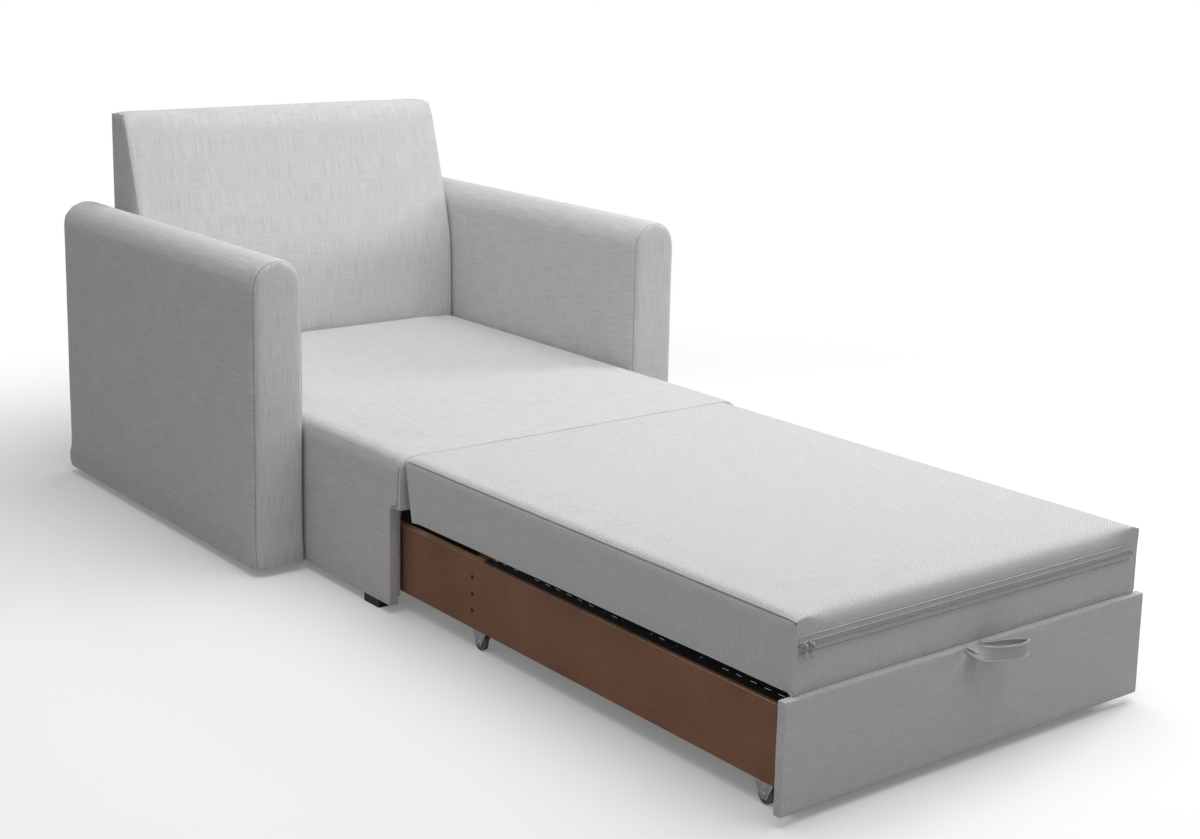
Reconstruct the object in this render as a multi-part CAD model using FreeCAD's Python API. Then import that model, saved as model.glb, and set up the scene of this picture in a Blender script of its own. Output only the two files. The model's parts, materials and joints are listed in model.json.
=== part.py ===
"""Convertible chair bed: an upholstered one-seat armchair whose low frame pulls out to a flat bed.

The bed stands pulled out. X runs across it, with the sitter's way of looking along -Y, and Z is up.
Sizes are in millimetres. Places along Y are first counted from the front plane of the arms, and
every piece is moved at the end so that the origin lies on the floor under the middle of the bed.
"""
import FreeCAD
import Part
import math
import os

Vector = FreeCAD.Vector

# Overall sizes of the upholstered bed
bed_width = 750.0
floor_gap = 15.0
cloth = 1.2
running_gap = 0.8

# How far a cutting block passes the surface that it cuts
past = 1.0

# Arms: a round-topped box with a thin foam layer under its cover
arm_width = 105.0
arm_depth = 840.0
arm_height = 582.0
arm_foam = 8.0
arm_edge_radius = 9.0
arm_inner_panel = 12.0
arm_outer_panel = 4.0
arm_post_depth = 45.0
arm_rail_tongue = 32.0

# Base and rear seat
base_front = 281.0
seat_overhang = 32.0
seat_height = 289.0
seat_crown = 5.0
seat_corner_radius = 24.0
seat_padding = 36.0
side_board = 15.0
guide_board = 8.0
guide_lift = 13.0
guide_setback = 3.0
guide_top_gap = 2.0
seat_rail_depth = 30.0
webbing = 1.8
webbing_width = 60.0
webbing_count = 6
back_board = 16.0
foot_length = 50.0
foot_width = 24.0
foot_inset = 38.0
foot_corner_radius = 3.0

# Backrest, a wedge with a straight lower part
back_inset = 28.5
back_depth = 155.9
back_height = 766.0
back_bend_height = 461.0
back_bend_radius = 260.0
back_lean = 101.4
back_foam = 43.0
back_top_foam = 18.8
back_crown = 7.0
back_top_radius = 24.0
back_rear_radius = 3.0
back_panel = 12.0
back_panel_drop = 8.0
back_post = 18.0
back_post_drop = 22.0
back_post_radius = 6.0
back_post_foot = 30.0
back_side_gap = 0.4

# Pull-out frame
rail_side_gap = 5.8
rail_thickness = 16.0
rail_height = 117.0
rail_engagement = 95.0
rail_rear_gap = 6.8
rail_corner_radius = 8.0
panel_thickness = 15.0
panel_wadding = 2.0
panel_edge_radius = 4.0
panel_clearance = 1.3
notch_gap = 15.0
cross_board = 16.0
mid_board_reach = 206.0
deck_setback = 18.0
deck_board = 3.0
deck_inset = 4.0
deck_tongue_gap = 1.0
deck_cloth = 1.2
pad_height = 22.3
pad_side_margin = 22.0
pad_front_margin = 3.0
pad_rear_margin = 12.0
pad_corner_radius = 9.0
stop_length = 34.0
stop_inset = 2.0
stop_top_gap = 12.0
catch_length = 28.0
catch_lift = 2.8
stop_gap = 0.5

# Wheels under the rails
wheel_radius = 14.0
wheel_width = 9.0
wheel_rear_setback = 18.0
wheel_front_setback = 68.0
wheel_top_gap = 4.5
wheel_hub_wall = 3.0
wheel_hub_stand = 0.3
wheel_rim_wall = 2.6
wheel_dish = 1.6
wheel_chamfer = 1.2
axle_radius = 2.0
axle_clearance = 0.08
axle_head = 1.0
axle_head_rim = 1.6
bracket_sheet = 1.5
bracket_length = 38.0
bracket_nose = 6.0
bracket_gap = 0.6

# Fasteners
screw_radius = 2.5
screw_head_radius = 4.0
screw_head = 3.0
screw_length = 50.0
screw_spacing = 28.5
screw_ease = 0.05
bolt_radius = 4.0
bolt_head_radius = 7.5
bolt_head = 5.0
bolt_clearance = 0.3
bolt_places = (82.0, 350.0, 600.0)
bolt_tip = 5.0
nut_height = 9.0
nut_barrel_radius = 5.5
nut_flange_radius = 10.5
nut_flange = 1.5
nut_ease = 0.1

# Mattress
mattress_side_gap = 15.0
mattress_front_setback = 8.0
mattress_gap = 3.0
mattress_lean = 22.0
mattress_crown = 5.0
mattress_edge = 7.0
mattress_edge_drop = 3.2
mattress_edge_lift = 2.5
mattress_top_radius = 26.0
mattress_low_radius = 9.0
mattress_rear_radius = 4.0
foam_ease = 0.3
hinge_lift = 0.5
strip_depth = 22.0
strip_inset = 40.0
strip_drop = 4.0
strip_seam = 0.1
strip_rear_gap = 0.4

# Zip along the mattress front
zip_drop = 43.0
zip_tape_width = 26.0
zip_tape = 0.8
zip_coil_radius = 1.8
zip_inset = 6.0
zip_stop_length = 3.0
zip_stop_height = 6.0
zip_stop_depth = 2.4
slider_length = 9.0
slider_height = 8.4
slider_plate = 1.2
slider_corner_radius = 2.2
slider_gap = 0.35
slider_end_gap = 0.3
slider_spacing = 12.6
bridge_wire = 1.3
bridge_width = 1.6
bridge_room = 1.1
bridge_rise = 3.2
bridge_fall = 4.0
tab_length = 18.0
tab_width = 7.0
tab_sheet = 1.2
tab_leg = 1.1
tab_leg_gap = 1.0
tab_slot = 5.5
tab_shoulder = 3.0
tab_hole_radius = 1.5
tab_pin_radius = 0.8
tab_pin_drop = 1.4
tab_pin_reach = 1.3

# Pull loop
loop_tape = 1.4
loop_width = 25.0
loop_root = -14.0
loop_tip_out = 42.0
loop_tip_across = 62.0
loop_ply_gap = 0.4
loop_sink = 0.2
loop_ceiling = 0.5
loop_pocket_margin = 5.0
loop_pocket_floor = 1.6
loop_steps = 3

# Places worked out from the sizes above
half_bed = bed_width / 2
base_y = -base_front
seam_y = -base_front - seat_overhang
board_half = half_bed - cloth
inner_half = board_half - side_board
guide_half = inner_half - guide_board
rail_outer_half = guide_half - rail_side_gap
rail_inner_half = rail_outer_half - rail_thickness
back_rear = arm_depth - back_inset
back_face = back_rear - back_depth
back_top_face = back_face + back_lean
back_board_y = back_rear - cloth - back_panel
rail_rear_y = base_y + rail_engagement
frame_travel = back_board_y - back_board - rail_rear_gap - rail_rear_y
panel_back_y = base_y - stop_gap - frame_travel
panel_front_y = panel_back_y - panel_thickness
mid_board_y = base_y - mid_board_reach
deck_rear_y = mid_board_y - cross_board / 2 - deck_setback
rail_bottom = 2 * wheel_radius + wheel_top_gap + bracket_sheet
rail_top = rail_bottom + rail_height
deck_top = rail_top + deck_board
mattress_bottom = deck_top + pad_height + deck_cloth + running_gap
panel_top = mattress_bottom - panel_clearance
notch_height = panel_top + notch_gap
seat_rail_top = seat_height - seat_padding
bolt_height = (notch_height + cloth + seat_rail_top) / 2
mattress_half = half_bed - mattress_side_gap
mattress_front_y = panel_front_y + mattress_front_setback
mattress_rear_y = seam_y - mattress_gap
zip_height = seat_height - zip_drop
hinge_y = seam_y - mattress_gap / 2
hinge_z = seat_height + hinge_lift

pieces = {}


def box(x0, x1, y0, y1, z0, z1):
    """A block between two corners."""
    return Part.makeBox(x1 - x0, y1 - y0, z1 - z0, Vector(x0, y0, z0))


def in_plane(plane, at, a, b):
    """A point of a drawing plane: 'yz' stands at X, 'xz' at Y, 'xy' at Z."""
    if plane == "yz":
        return Vector(at, a, b)
    if plane == "xz":
        return Vector(a, at, b)
    return Vector(a, b, at)


def outline(corners, plane, at):
    """A closed wire through corners (a, b, radius), each rounded by a tangent arc."""
    count = len(corners)
    joints = []
    for i, (a, b, radius) in enumerate(corners):
        here = Vector(a, b, 0)
        before = Vector(*corners[i - 1][:2], 0) - here
        after = Vector(*corners[(i + 1) % count][:2], 0) - here
        before.normalize()
        after.normalize()
        if radius <= 0:
            joints.append((here, None, here))
            continue
        half_angle = before.getAngle(after) / 2
        reach = radius / math.tan(half_angle)
        inward = before + after
        inward.normalize()
        centre = here + inward * (radius / math.sin(half_angle))
        joints.append((here + before * reach, centre - inward * radius, here + after * reach))
    edges = []
    for i, (start, middle, end) in enumerate(joints):
        following = joints[(i + 1) % count][0]
        if middle is not None:
            points = [in_plane(plane, at, p.x, p.y) for p in (start, middle, end)]
            edges.append(Part.Arc(*points).toShape())
        if (following - end).Length > 1e-6:
            first = in_plane(plane, at, end.x, end.y)
            second = in_plane(plane, at, following.x, following.y)
            edges.append(Part.makeLine(first, second))
    return Part.Wire(edges)


def prism(corners, plane, start, end):
    """A straight solid between two places along the axis that is square to the plane."""
    along = {"yz": Vector(1, 0, 0), "xz": Vector(0, 1, 0), "xy": Vector(0, 0, 1)}[plane]
    return Part.Face(outline(corners, plane, start)).extrude(along * (end - start))


def cylinder(radius, start, end):
    """A round bar between two points."""
    along = end - start
    return Part.makeCylinder(radius, along.Length, start, along)


def fuse(shapes):
    """Joins shapes into one solid without leftover seams."""
    joined = shapes[0].multiFuse(shapes[1:])
    return joined.removeSplitter()


def mirrored(shape):
    """The same piece on the other side of the bed."""
    return shape.mirror(Vector(0, 0, 0), Vector(1, 0, 0))


def add(name, shape):
    """Keeps a finished piece under its name."""
    pieces[name] = shape


def add_pair(name, left_shape):
    """Keeps a piece of the left side and its mirror image on the right."""
    add(name + "_left", left_shape)
    add(name + "_right", mirrored(left_shape))


# Bolts hold each arm to a side board of the base
def bolt_axis_points(place):
    head = Vector(-inner_half, place, bolt_height)
    far = Vector(-half_bed - cloth - arm_foam - arm_inner_panel, place, bolt_height)
    return head, far


def bolt_holes():
    """Clearance bars along every left bolt."""
    bars = []
    for place in bolt_places:
        head, far = bolt_axis_points(place)
        bars.append(cylinder(bolt_radius + bolt_clearance, head + Vector(past, 0, 0),
                             far - Vector(past, 0, 0)))
    return Part.makeCompound(bars)


def arm_bolt_set(place):
    """Hex bolt with its flange on the side board, and the flanged nut in the arm."""
    head, far = bolt_axis_points(place)
    shank = cylinder(bolt_radius, head, far - Vector(bolt_tip, 0, 0))
    hexagon = Part.makePolygon([
        Vector(head.x, place + bolt_head_radius * math.cos(math.radians(60 * k)),
               bolt_height + bolt_head_radius * math.sin(math.radians(60 * k)))
        for k in range(7)])
    head_block = Part.Face(hexagon).extrude(Vector(bolt_head, 0, 0))
    bolt = fuse([shank, head_block])
    flange = cylinder(nut_flange_radius, far, far - Vector(nut_flange, 0, 0))
    barrel = cylinder(nut_barrel_radius, far, far + Vector(nut_height, 0, 0))
    bore = cylinder(bolt_radius + nut_ease, far - Vector(nut_flange + past, 0, 0),
                    far + Vector(nut_height + past, 0, 0))
    nut = fuse([flange, barrel]).cut(bore)
    return [bolt, nut]


def arch(inset, start, end, bottom):
    """Round-topped block of the left arm, drawn in by inset on both sides and the top."""
    outer = -half_bed - arm_width + inset
    inner = -half_bed - inset
    radius = arm_width / 2 - inset
    spring = arm_height - arm_width / 2
    middle = (outer + inner) / 2
    edges = [Part.Arc(Vector(inner, start, spring), Vector(middle, start, spring + radius),
                      Vector(outer, start, spring)).toShape()]
    if bottom < spring:
        edges.append(Part.makeLine(Vector(outer, start, spring), Vector(outer, start, bottom)))
    edges.append(Part.makeLine(Vector(outer, start, bottom), Vector(inner, start, bottom)))
    if bottom < spring:
        edges.append(Part.makeLine(Vector(inner, start, bottom), Vector(inner, start, spring)))
    return Part.Face(Part.Wire(edges)).extrude(Vector(0, end - start, 0))


def soft_arch(inset, end, bottom):
    """The arch with the rounded front edge of the padded arm."""
    block = arch(inset, inset, end, bottom)
    front = [e for e in block.Edges
             if abs(e.BoundBox.YMin - inset) < 1e-6 and abs(e.BoundBox.YMax - inset) < 1e-6
             and e.BoundBox.ZMax > bottom + past]
    return block.makeFillet(arm_edge_radius - inset, front)


def make_arms():
    holes = bolt_holes()
    low = floor_gap
    outside = soft_arch(0, arm_depth, low)
    inside = soft_arch(cloth, arm_depth - cloth, low - past)
    skin = outside.cut(inside)
    split = box(-half_bed - arm_width - past, 0, -past, arm_edge_radius, 0, arm_height + past)
    add_pair("arm_front_facing", skin.common(split))
    add_pair("arm_cover", skin.cut(split).cut(holes))

    core_inset = cloth + arm_foam
    foam_low = low + cloth
    padding = soft_arch(cloth, arm_depth - cloth, foam_low)
    padding = padding.cut(arch(core_inset, core_inset, arm_depth, foam_low - past))
    add_pair("arm_padding", padding.cut(holes))

    inner = -half_bed - core_inset
    outer = -half_bed - arm_width + core_inset
    front = core_inset
    rear = arm_depth - cloth
    spring = arm_height - arm_width / 2
    inner_panel = box(inner - arm_inner_panel, inner, front, rear, foam_low, spring)
    add_pair("arm_inner_panel", inner_panel.cut(holes).cut(nut_pockets()))
    add_pair("arm_outer_panel", box(outer, outer + arm_outer_panel, front, rear, foam_low, spring))

    post_inner = inner - arm_inner_panel
    post_outer = outer + arm_outer_panel
    tongue_low = spring - arm_rail_tongue
    add_pair("arm_front_post", box(post_outer, post_inner, front, front + arm_post_depth,
                                   foam_low, tongue_low))
    add_pair("arm_rear_post", box(post_outer, post_inner, rear - arm_post_depth, rear,
                                  foam_low, tongue_low))
    round_part = arch(core_inset, front, rear, spring)
    tongue = box(post_outer, post_inner, front, rear, tongue_low, spring)
    add_pair("arm_top_rail", fuse([round_part, tongue]))


def nut_pockets():
    """Bores for the barrels of the left flanged nuts."""
    bars = []
    for place in bolt_places:
        far = bolt_axis_points(place)[1]
        bars.append(cylinder(nut_barrel_radius, far, far + Vector(nut_height, 0, 0)))
    return Part.makeCompound(bars)


def side_outline(inset):
    """Side view of the rear seat: front overhang, notch for the front panel, top and rear."""
    return [
        (base_y + inset, floor_gap, 0),
        (base_y + inset, notch_height + inset, 0),
        (seam_y + inset, notch_height + inset, 0),
        (seam_y + inset, seat_height + past, 0),
        (back_face, seat_height + past, 0),
        (back_face, floor_gap, 0),
    ]


def seat_section(inset, bottom, place):
    """Front view of the rear seat at one place along Y: straight sides, soft corners, crowned top."""
    half = half_bed - inset
    edge_top = seat_height - seat_crown - inset
    radius = seat_corner_radius - inset
    left_arc = Part.Arc(
        Vector(-half, place, edge_top - radius),
        Vector(-half + radius * (1 - math.cos(math.radians(45))), place,
               edge_top - radius + radius * math.sin(math.radians(45))),
        Vector(-half + radius, place, edge_top)).toShape()
    crown = Part.Arc(
        Vector(-half + radius, place, edge_top),
        Vector(0, place, seat_height - inset),
        Vector(half - radius, place, edge_top)).toShape()
    right_arc = left_arc.mirror(Vector(0, 0, 0), Vector(1, 0, 0))
    low_left = Vector(-half, place, bottom)
    low_right = Vector(half, place, bottom)
    edges = [
        Part.makeLine(low_left, Vector(-half, place, edge_top - radius)),
        left_arc,
        crown,
        right_arc,
        Part.makeLine(Vector(half, place, edge_top - radius), low_right),
        Part.makeLine(low_right, low_left),
    ]
    return Part.Wire(Part.__sortEdges__(edges))


def seat_block(inset, bottom):
    """Solid of the rear seat, drawn in by inset."""
    block = Part.Face(seat_section(inset, bottom, seam_y - past)).extrude(
        Vector(0, back_face - seam_y + past, 0))
    return block.common(prism(side_outline(inset), "yz", -half_bed, half_bed))


def make_base():
    holes = bolt_holes()
    both_holes = Part.makeCompound([holes, mirrored(holes)])
    skin = seat_block(0, floor_gap).cut(seat_block(cloth, floor_gap - past))
    tunnel = box(-inner_half, inner_half, base_y - past, back_face + past, 0, notch_height)
    add("seat_cover", skin.cut(tunnel).cut(both_holes))

    foam_bottom = seat_rail_top + webbing
    above = box(-half_bed, half_bed, seam_y, back_face, foam_bottom, seat_height + past)
    add("seat_foam", seat_block(cloth, floor_gap).common(above))

    board_low = floor_gap + cloth
    board = prism([
        (base_y + cloth, board_low, 0),
        (base_y + cloth, notch_height + cloth, 0),
        (seam_y + cloth, notch_height + cloth, 0),
        (seam_y + cloth, seat_rail_top, 0),
        (back_board_y, seat_rail_top, 0),
        (back_board_y, board_low, 0),
    ], "yz", -board_half, -inner_half)
    add_pair("side_board", board.cut(holes))
    guide = box(-inner_half, -guide_half, base_y + guide_setback, back_board_y - back_board,
                floor_gap + guide_lift, notch_height - guide_top_gap)
    add_pair("guide_board", guide)
    add("base_back_board", box(-inner_half, inner_half, back_board_y - back_board, back_board_y,
                               floor_gap + guide_lift, notch_height + cloth))

    add("seat_front_rail", box(-inner_half, inner_half, seam_y + cloth, seam_y + cloth + seat_rail_depth,
                               notch_height + cloth, seat_rail_top))
    rear_rail_y = back_face - seat_rail_depth / 2
    add("seat_rear_rail", box(-inner_half, inner_half, rear_rail_y, rear_rail_y + seat_rail_depth,
                              notch_height + cloth, seat_rail_top))
    belts = []
    pitch = 2 * inner_half / webbing_count
    for k in range(webbing_count):
        x = -inner_half + (k + 0.5) * pitch
        belts.append(box(x - webbing_width / 2, x + webbing_width / 2, seam_y + cloth,
                         back_face, seat_rail_top, seat_rail_top + webbing))
    add("seat_webbing", Part.makeCompound(belts))

    feet = []
    for side in (-1, 1):
        for front in (base_y + foot_inset, back_board_y - foot_inset - foot_length):
            outer = side * board_half
            inner = side * (board_half - foot_width)
            foot = box(min(outer, inner), max(outer, inner), front, front + foot_length, 0, board_low)
            upright = [e for e in foot.Edges if e.BoundBox.ZLength > board_low / 2]
            feet.append(foot.makeFillet(foot_corner_radius, upright))
    add("base_feet", Part.makeCompound(feet))

    catch_rear = rail_rear_y - stop_length - stop_gap
    catches = []
    for side in (-1, 1):
        outer = side * guide_half
        inner = side * (rail_inner_half + stop_inset)
        catches.append(box(min(outer, inner), max(outer, inner), catch_rear - catch_length, catch_rear,
                           deck_top + deck_cloth + catch_lift, notch_height - guide_top_gap))
    add("frame_catches", Part.makeCompound(catches))

    sets = []
    for place in bolt_places:
        sets += arm_bolt_set(place)
    add("arm_bolts", Part.makeCompound(sets + [mirrored(s) for s in sets]))


def back_outline(inset, draw, low):
    """Side view of the backrest: straight below, leaning back above, round at the top front.

    draw pulls the front face and the top in, for the soft edges and the crown.
    """
    face = back_face + inset + draw
    top_face = back_top_face + inset + draw
    top = back_height - inset - draw / 2
    rear = back_rear - inset
    return [
        (face, low, 0),
        (face, back_bend_height, back_bend_radius),
        (top_face, top, back_top_radius - inset),
        (rear, top, back_rear_radius),
        (rear, low, 0),
    ]


def back_block(inset, half, low):
    """Crowned solid of the backrest, lofted from side to side."""
    wires = []
    for share in (-1.0, -0.7, -0.35, 0.0, 0.35, 0.7, 1.0):
        draw = back_crown * share ** 2
        wires.append(outline(back_outline(inset, draw, low), "yz", share * half))
    return Part.makeLoft(wires, True, True)


def post_outline(low, foot_y):
    """Side view of a backrest post, under the foam of the backrest's front and top."""
    face = back_face + cloth + back_crown + back_foam
    top = back_height - cloth - back_crown - back_panel_drop - back_post_drop
    return [
        (face, low, 0),
        (face, back_bend_height, back_bend_radius - back_foam),
        (back_top_face + cloth + back_top_foam, top, back_post_radius),
        (back_board_y, top, 0),
        (back_board_y, notch_height + cloth, 0),
        (face + foot_y, notch_height + cloth, 0),
    ]


def make_backrest():
    low = seat_rail_top + webbing
    half = half_bed - back_side_gap
    outside = back_block(0, half, low)
    inside = back_block(cloth, half - cloth, low - past)
    rear_sheet = box(-half, half, back_rear - cloth, back_rear, floor_gap + cloth, low + past)
    cover = outside.cut(inside)
    add("backrest_cover", cover.fuse(rear_sheet).removeSplitter())

    panel_top_z = back_height - cloth - back_crown - back_panel_drop
    foam = back_block(cloth, half - cloth, low).cut(prism(post_outline(low - past, 0), "yz", -half, half))
    foam = foam.cut(box(-half, half, back_board_y, back_rear, low - past, panel_top_z))
    add("backrest_foam", foam)
    add("backrest_panel", box(cloth - half, half - cloth, back_board_y, back_board_y + back_panel,
                              floor_gap + guide_lift, panel_top_z))
    post = prism(post_outline(seat_rail_top, back_post_foot), "yz", -inner_half, -inner_half + back_post)
    add_pair("backrest_post", post)


def screw_points():
    """Head centres of the left rail's screws, in rows of three at each cross board."""
    points = []
    for place in (mid_board_y, rail_rear_y - cross_board / 2):
        for k in range(3):
            height = rail_bottom + rail_height / 2 + (k - 1) * screw_spacing
            points.append(Vector(-rail_outer_half, place, height))
    return points


def panel_screw_points():
    """Head centres of the screws through the front panel into the end of the left rail."""
    x = -rail_outer_half + rail_thickness / 2
    face = panel_front_y + panel_wadding
    return [Vector(x, face, rail_bottom + rail_height * share) for share in (0.25, 0.75)]


def screw(point, ease, turn=0):
    """Countersunk screw along +X, turned about Z, or the room for it where ease is over zero."""
    profile = Part.makePolygon([
        Vector(0, 0, 0),
        Vector(0, screw_head_radius + ease, 0),
        Vector(screw_head, screw_radius + ease, 0),
        Vector(screw_length + ease, screw_radius + ease, 0),
        Vector(screw_length + ease, 0, 0),
        Vector(0, 0, 0),
    ])
    solid = Part.Face(profile).revolve(Vector(0, 0, 0), Vector(1, 0, 0), 360)
    solid.rotate(Vector(0, 0, 0), Vector(0, 0, 1), turn)
    solid.translate(point)
    return solid


def wheel_centres():
    """Wheel centres as (name, x, y)."""
    x = rail_outer_half - rail_thickness / 2
    rows = (("rear", mid_board_y - wheel_rear_setback), ("front", panel_front_y + wheel_front_setback))
    return [(row + "_" + side, sign * x, y)
            for row, y in rows for side, sign in (("left", -1), ("right", 1))]


def wheel_solid():
    """Dished wheel with a raised hub, turned about X at the origin."""
    half = wheel_width / 2
    bore = axle_radius + axle_clearance
    hub = axle_radius + wheel_hub_wall
    rim_inside = wheel_radius - wheel_rim_wall
    corners = [
        (half + wheel_hub_stand, bore),
        (half + wheel_hub_stand, hub),
        (half - wheel_dish, hub),
        (half - wheel_dish, rim_inside),
        (half, rim_inside),
        (half, wheel_radius - wheel_chamfer),
        (half - wheel_chamfer, wheel_radius),
    ]
    around = corners + [(-x, radius) for x, radius in reversed(corners)]
    profile = Part.Face(outline([(x, radius, 0) for x, radius in around], "xy", 0))
    return profile.revolve(Vector(0, 0, 0), Vector(1, 0, 0), 360)


def wheel_bracket():
    """Folded sheet fork at the origin of X and Y: a plate under the rail and two cheeks."""
    cheek_gap = wheel_width / 2 + bracket_gap
    half_length = bracket_length / 2
    side_view = outline([
        (-half_length, rail_bottom, 0),
        (-bracket_nose, wheel_radius - bracket_nose, bracket_nose),
        (bracket_nose, wheel_radius - bracket_nose, bracket_nose),
        (half_length, rail_bottom, 0),
    ], "yz", 0)
    cheeks = []
    for start in (-cheek_gap - bracket_sheet, cheek_gap):
        cheek = Part.Face(side_view).extrude(Vector(bracket_sheet, 0, 0))
        cheek.translate(Vector(start, 0, 0))
        cheeks.append(cheek)
    reach = cheek_gap + bracket_sheet
    plate = box(-reach, reach, -half_length, half_length, rail_bottom - bracket_sheet, rail_bottom)
    bore = cylinder(axle_radius + axle_clearance / 2, Vector(-reach - past, 0, wheel_radius),
                    Vector(reach + past, 0, wheel_radius))
    return fuse(cheeks + [plate]).cut(bore)


def wheel_axle():
    """Riveted pin at the origin of X and Y, with a flat head outside each cheek."""
    reach = wheel_width / 2 + bracket_gap + bracket_sheet
    centre = Vector(0, 0, wheel_radius)
    pin = cylinder(axle_radius, centre - Vector(reach + axle_head, 0, 0),
                   centre + Vector(reach + axle_head, 0, 0))
    heads = [cylinder(axle_radius + axle_head_rim, centre + Vector(sign * reach, 0, 0),
                      centre + Vector(sign * (reach + axle_head), 0, 0)) for sign in (-1, 1)]
    return fuse([pin] + heads)


def make_wheels():
    brackets = []
    axles = []
    for name, x, y in wheel_centres():
        wheel = wheel_solid()
        wheel.translate(Vector(x, y, wheel_radius))
        add("wheel_" + name, wheel)
        for made, group in ((wheel_bracket(), brackets), (wheel_axle(), axles)):
            made.translate(Vector(x, y, 0))
            group.append(made)
    add("wheel_brackets", Part.makeCompound(brackets))
    add("wheel_axles", Part.makeCompound(axles))


def loop_pocket():
    """Room at the panel's top edge for the sewn-in ends of the pull loop."""
    side = loop_width / 2 + loop_pocket_margin
    return box(loop_root - side, loop_root + side, panel_front_y - past, panel_back_y + past,
               panel_top - 2 * loop_tape - loop_pocket_floor, panel_top + past)


def deck_hat(outset):
    """Low pad on the deck with soft edges, or the room that its cloth takes where outset is over zero."""
    half = rail_outer_half - pad_side_margin + outset
    hat = box(-half, half, panel_back_y + pad_front_margin - outset, deck_rear_y - pad_rear_margin + outset,
              deck_top, deck_top + pad_height + outset)
    soft_edges = [e for e in hat.Edges if e.BoundBox.ZMin > deck_top or e.BoundBox.ZLength > pad_height / 2]
    return hat.makeFillet(pad_corner_radius + outset, soft_edges)


def make_frame():
    rail = box(-rail_outer_half, -rail_inner_half, panel_back_y, rail_rear_y, rail_bottom, rail_top)
    rear_corners = [e for e in rail.Edges if abs(e.BoundBox.YMin - rail_rear_y) < 1e-6
                    and e.BoundBox.XLength > rail_thickness / 2]
    rail = rail.makeFillet(rail_corner_radius, rear_corners)
    room = Part.makeCompound([screw(p, screw_ease) for p in screw_points()]
                             + [screw(p, screw_ease, 90) for p in panel_screw_points()])
    add_pair("frame_rail", rail.cut(room))

    both_rooms = Part.makeCompound([room, mirrored(room)])
    for name, y in (("middle", mid_board_y - cross_board / 2),
                    ("rear", rail_rear_y - cross_board)):
        board = box(-rail_inner_half, rail_inner_half, y, y + cross_board, rail_bottom, rail_top)
        add("cross_board_" + name, board.cut(both_rooms))

    screws = [screw(p, 0) for p in screw_points()] + [screw(p, 0, 90) for p in panel_screw_points()]
    add("rail_screws", Part.makeCompound(screws + [mirrored(s) for s in screws]))

    skin = panel_wadding
    core = box(-half_bed + skin, half_bed - skin, panel_front_y + skin, panel_back_y - skin,
               floor_gap + skin, panel_top - skin)
    wrap = box(-half_bed, half_bed, panel_front_y, panel_back_y, floor_gap, panel_top)
    wrap = wrap.makeFillet(panel_edge_radius, wrap.Edges)
    add("front_panel_board", core.cut(loop_pocket()).cut(both_rooms))
    add("front_panel_cover", wrap.cut(core).cut(loop_pocket()).cut(both_rooms))

    deck_half = rail_outer_half - deck_inset
    tongue_half = rail_inner_half - deck_tongue_gap
    tongue_y = mid_board_y + cross_board / 2
    add("deck_board", prism([
        (-deck_half, panel_back_y, 0),
        (deck_half, panel_back_y, 0),
        (deck_half, deck_rear_y, 0),
        (tongue_half, deck_rear_y, 0),
        (tongue_half, tongue_y, 0),
        (-tongue_half, tongue_y, 0),
        (-tongue_half, deck_rear_y, 0),
        (-deck_half, deck_rear_y, 0),
    ], "xy", rail_top, deck_top))
    pad = deck_hat(0)
    add("deck_pad", pad)
    flange = box(-deck_half, deck_half, panel_back_y, deck_rear_y, deck_top, deck_top + deck_cloth)
    add("deck_cover", flange.fuse(deck_hat(deck_cloth)).cut(pad))

    blocks = []
    for side in (-1, 1):
        outer = side * rail_outer_half
        inner = side * (rail_inner_half + stop_inset)
        blocks.append(box(min(outer, inner), max(outer, inner), rail_rear_y - stop_length, rail_rear_y,
                          rail_top, notch_height - stop_top_gap))
    add("frame_stop_blocks", Part.makeCompound(blocks))


def smooth_path(rows, steps):
    """Rows of numbers along a smooth curve that passes through every given row."""
    path = []
    last = len(rows) - 1
    for k in range(last):
        before, start, end, after = (rows[max(k - 1, 0)], rows[k], rows[k + 1], rows[min(k + 2, last)])
        for step in range(steps):
            t = step / steps
            path.append([
                0.5 * (2 * b + (c - a) * t + (2 * a - 5 * b + 4 * c - d) * t ** 2
                       + (3 * b - a - 3 * c + d) * t ** 3)
                for a, b, c, d in zip(before, start, end, after)])
    path.append(list(rows[last]))
    return path


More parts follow.
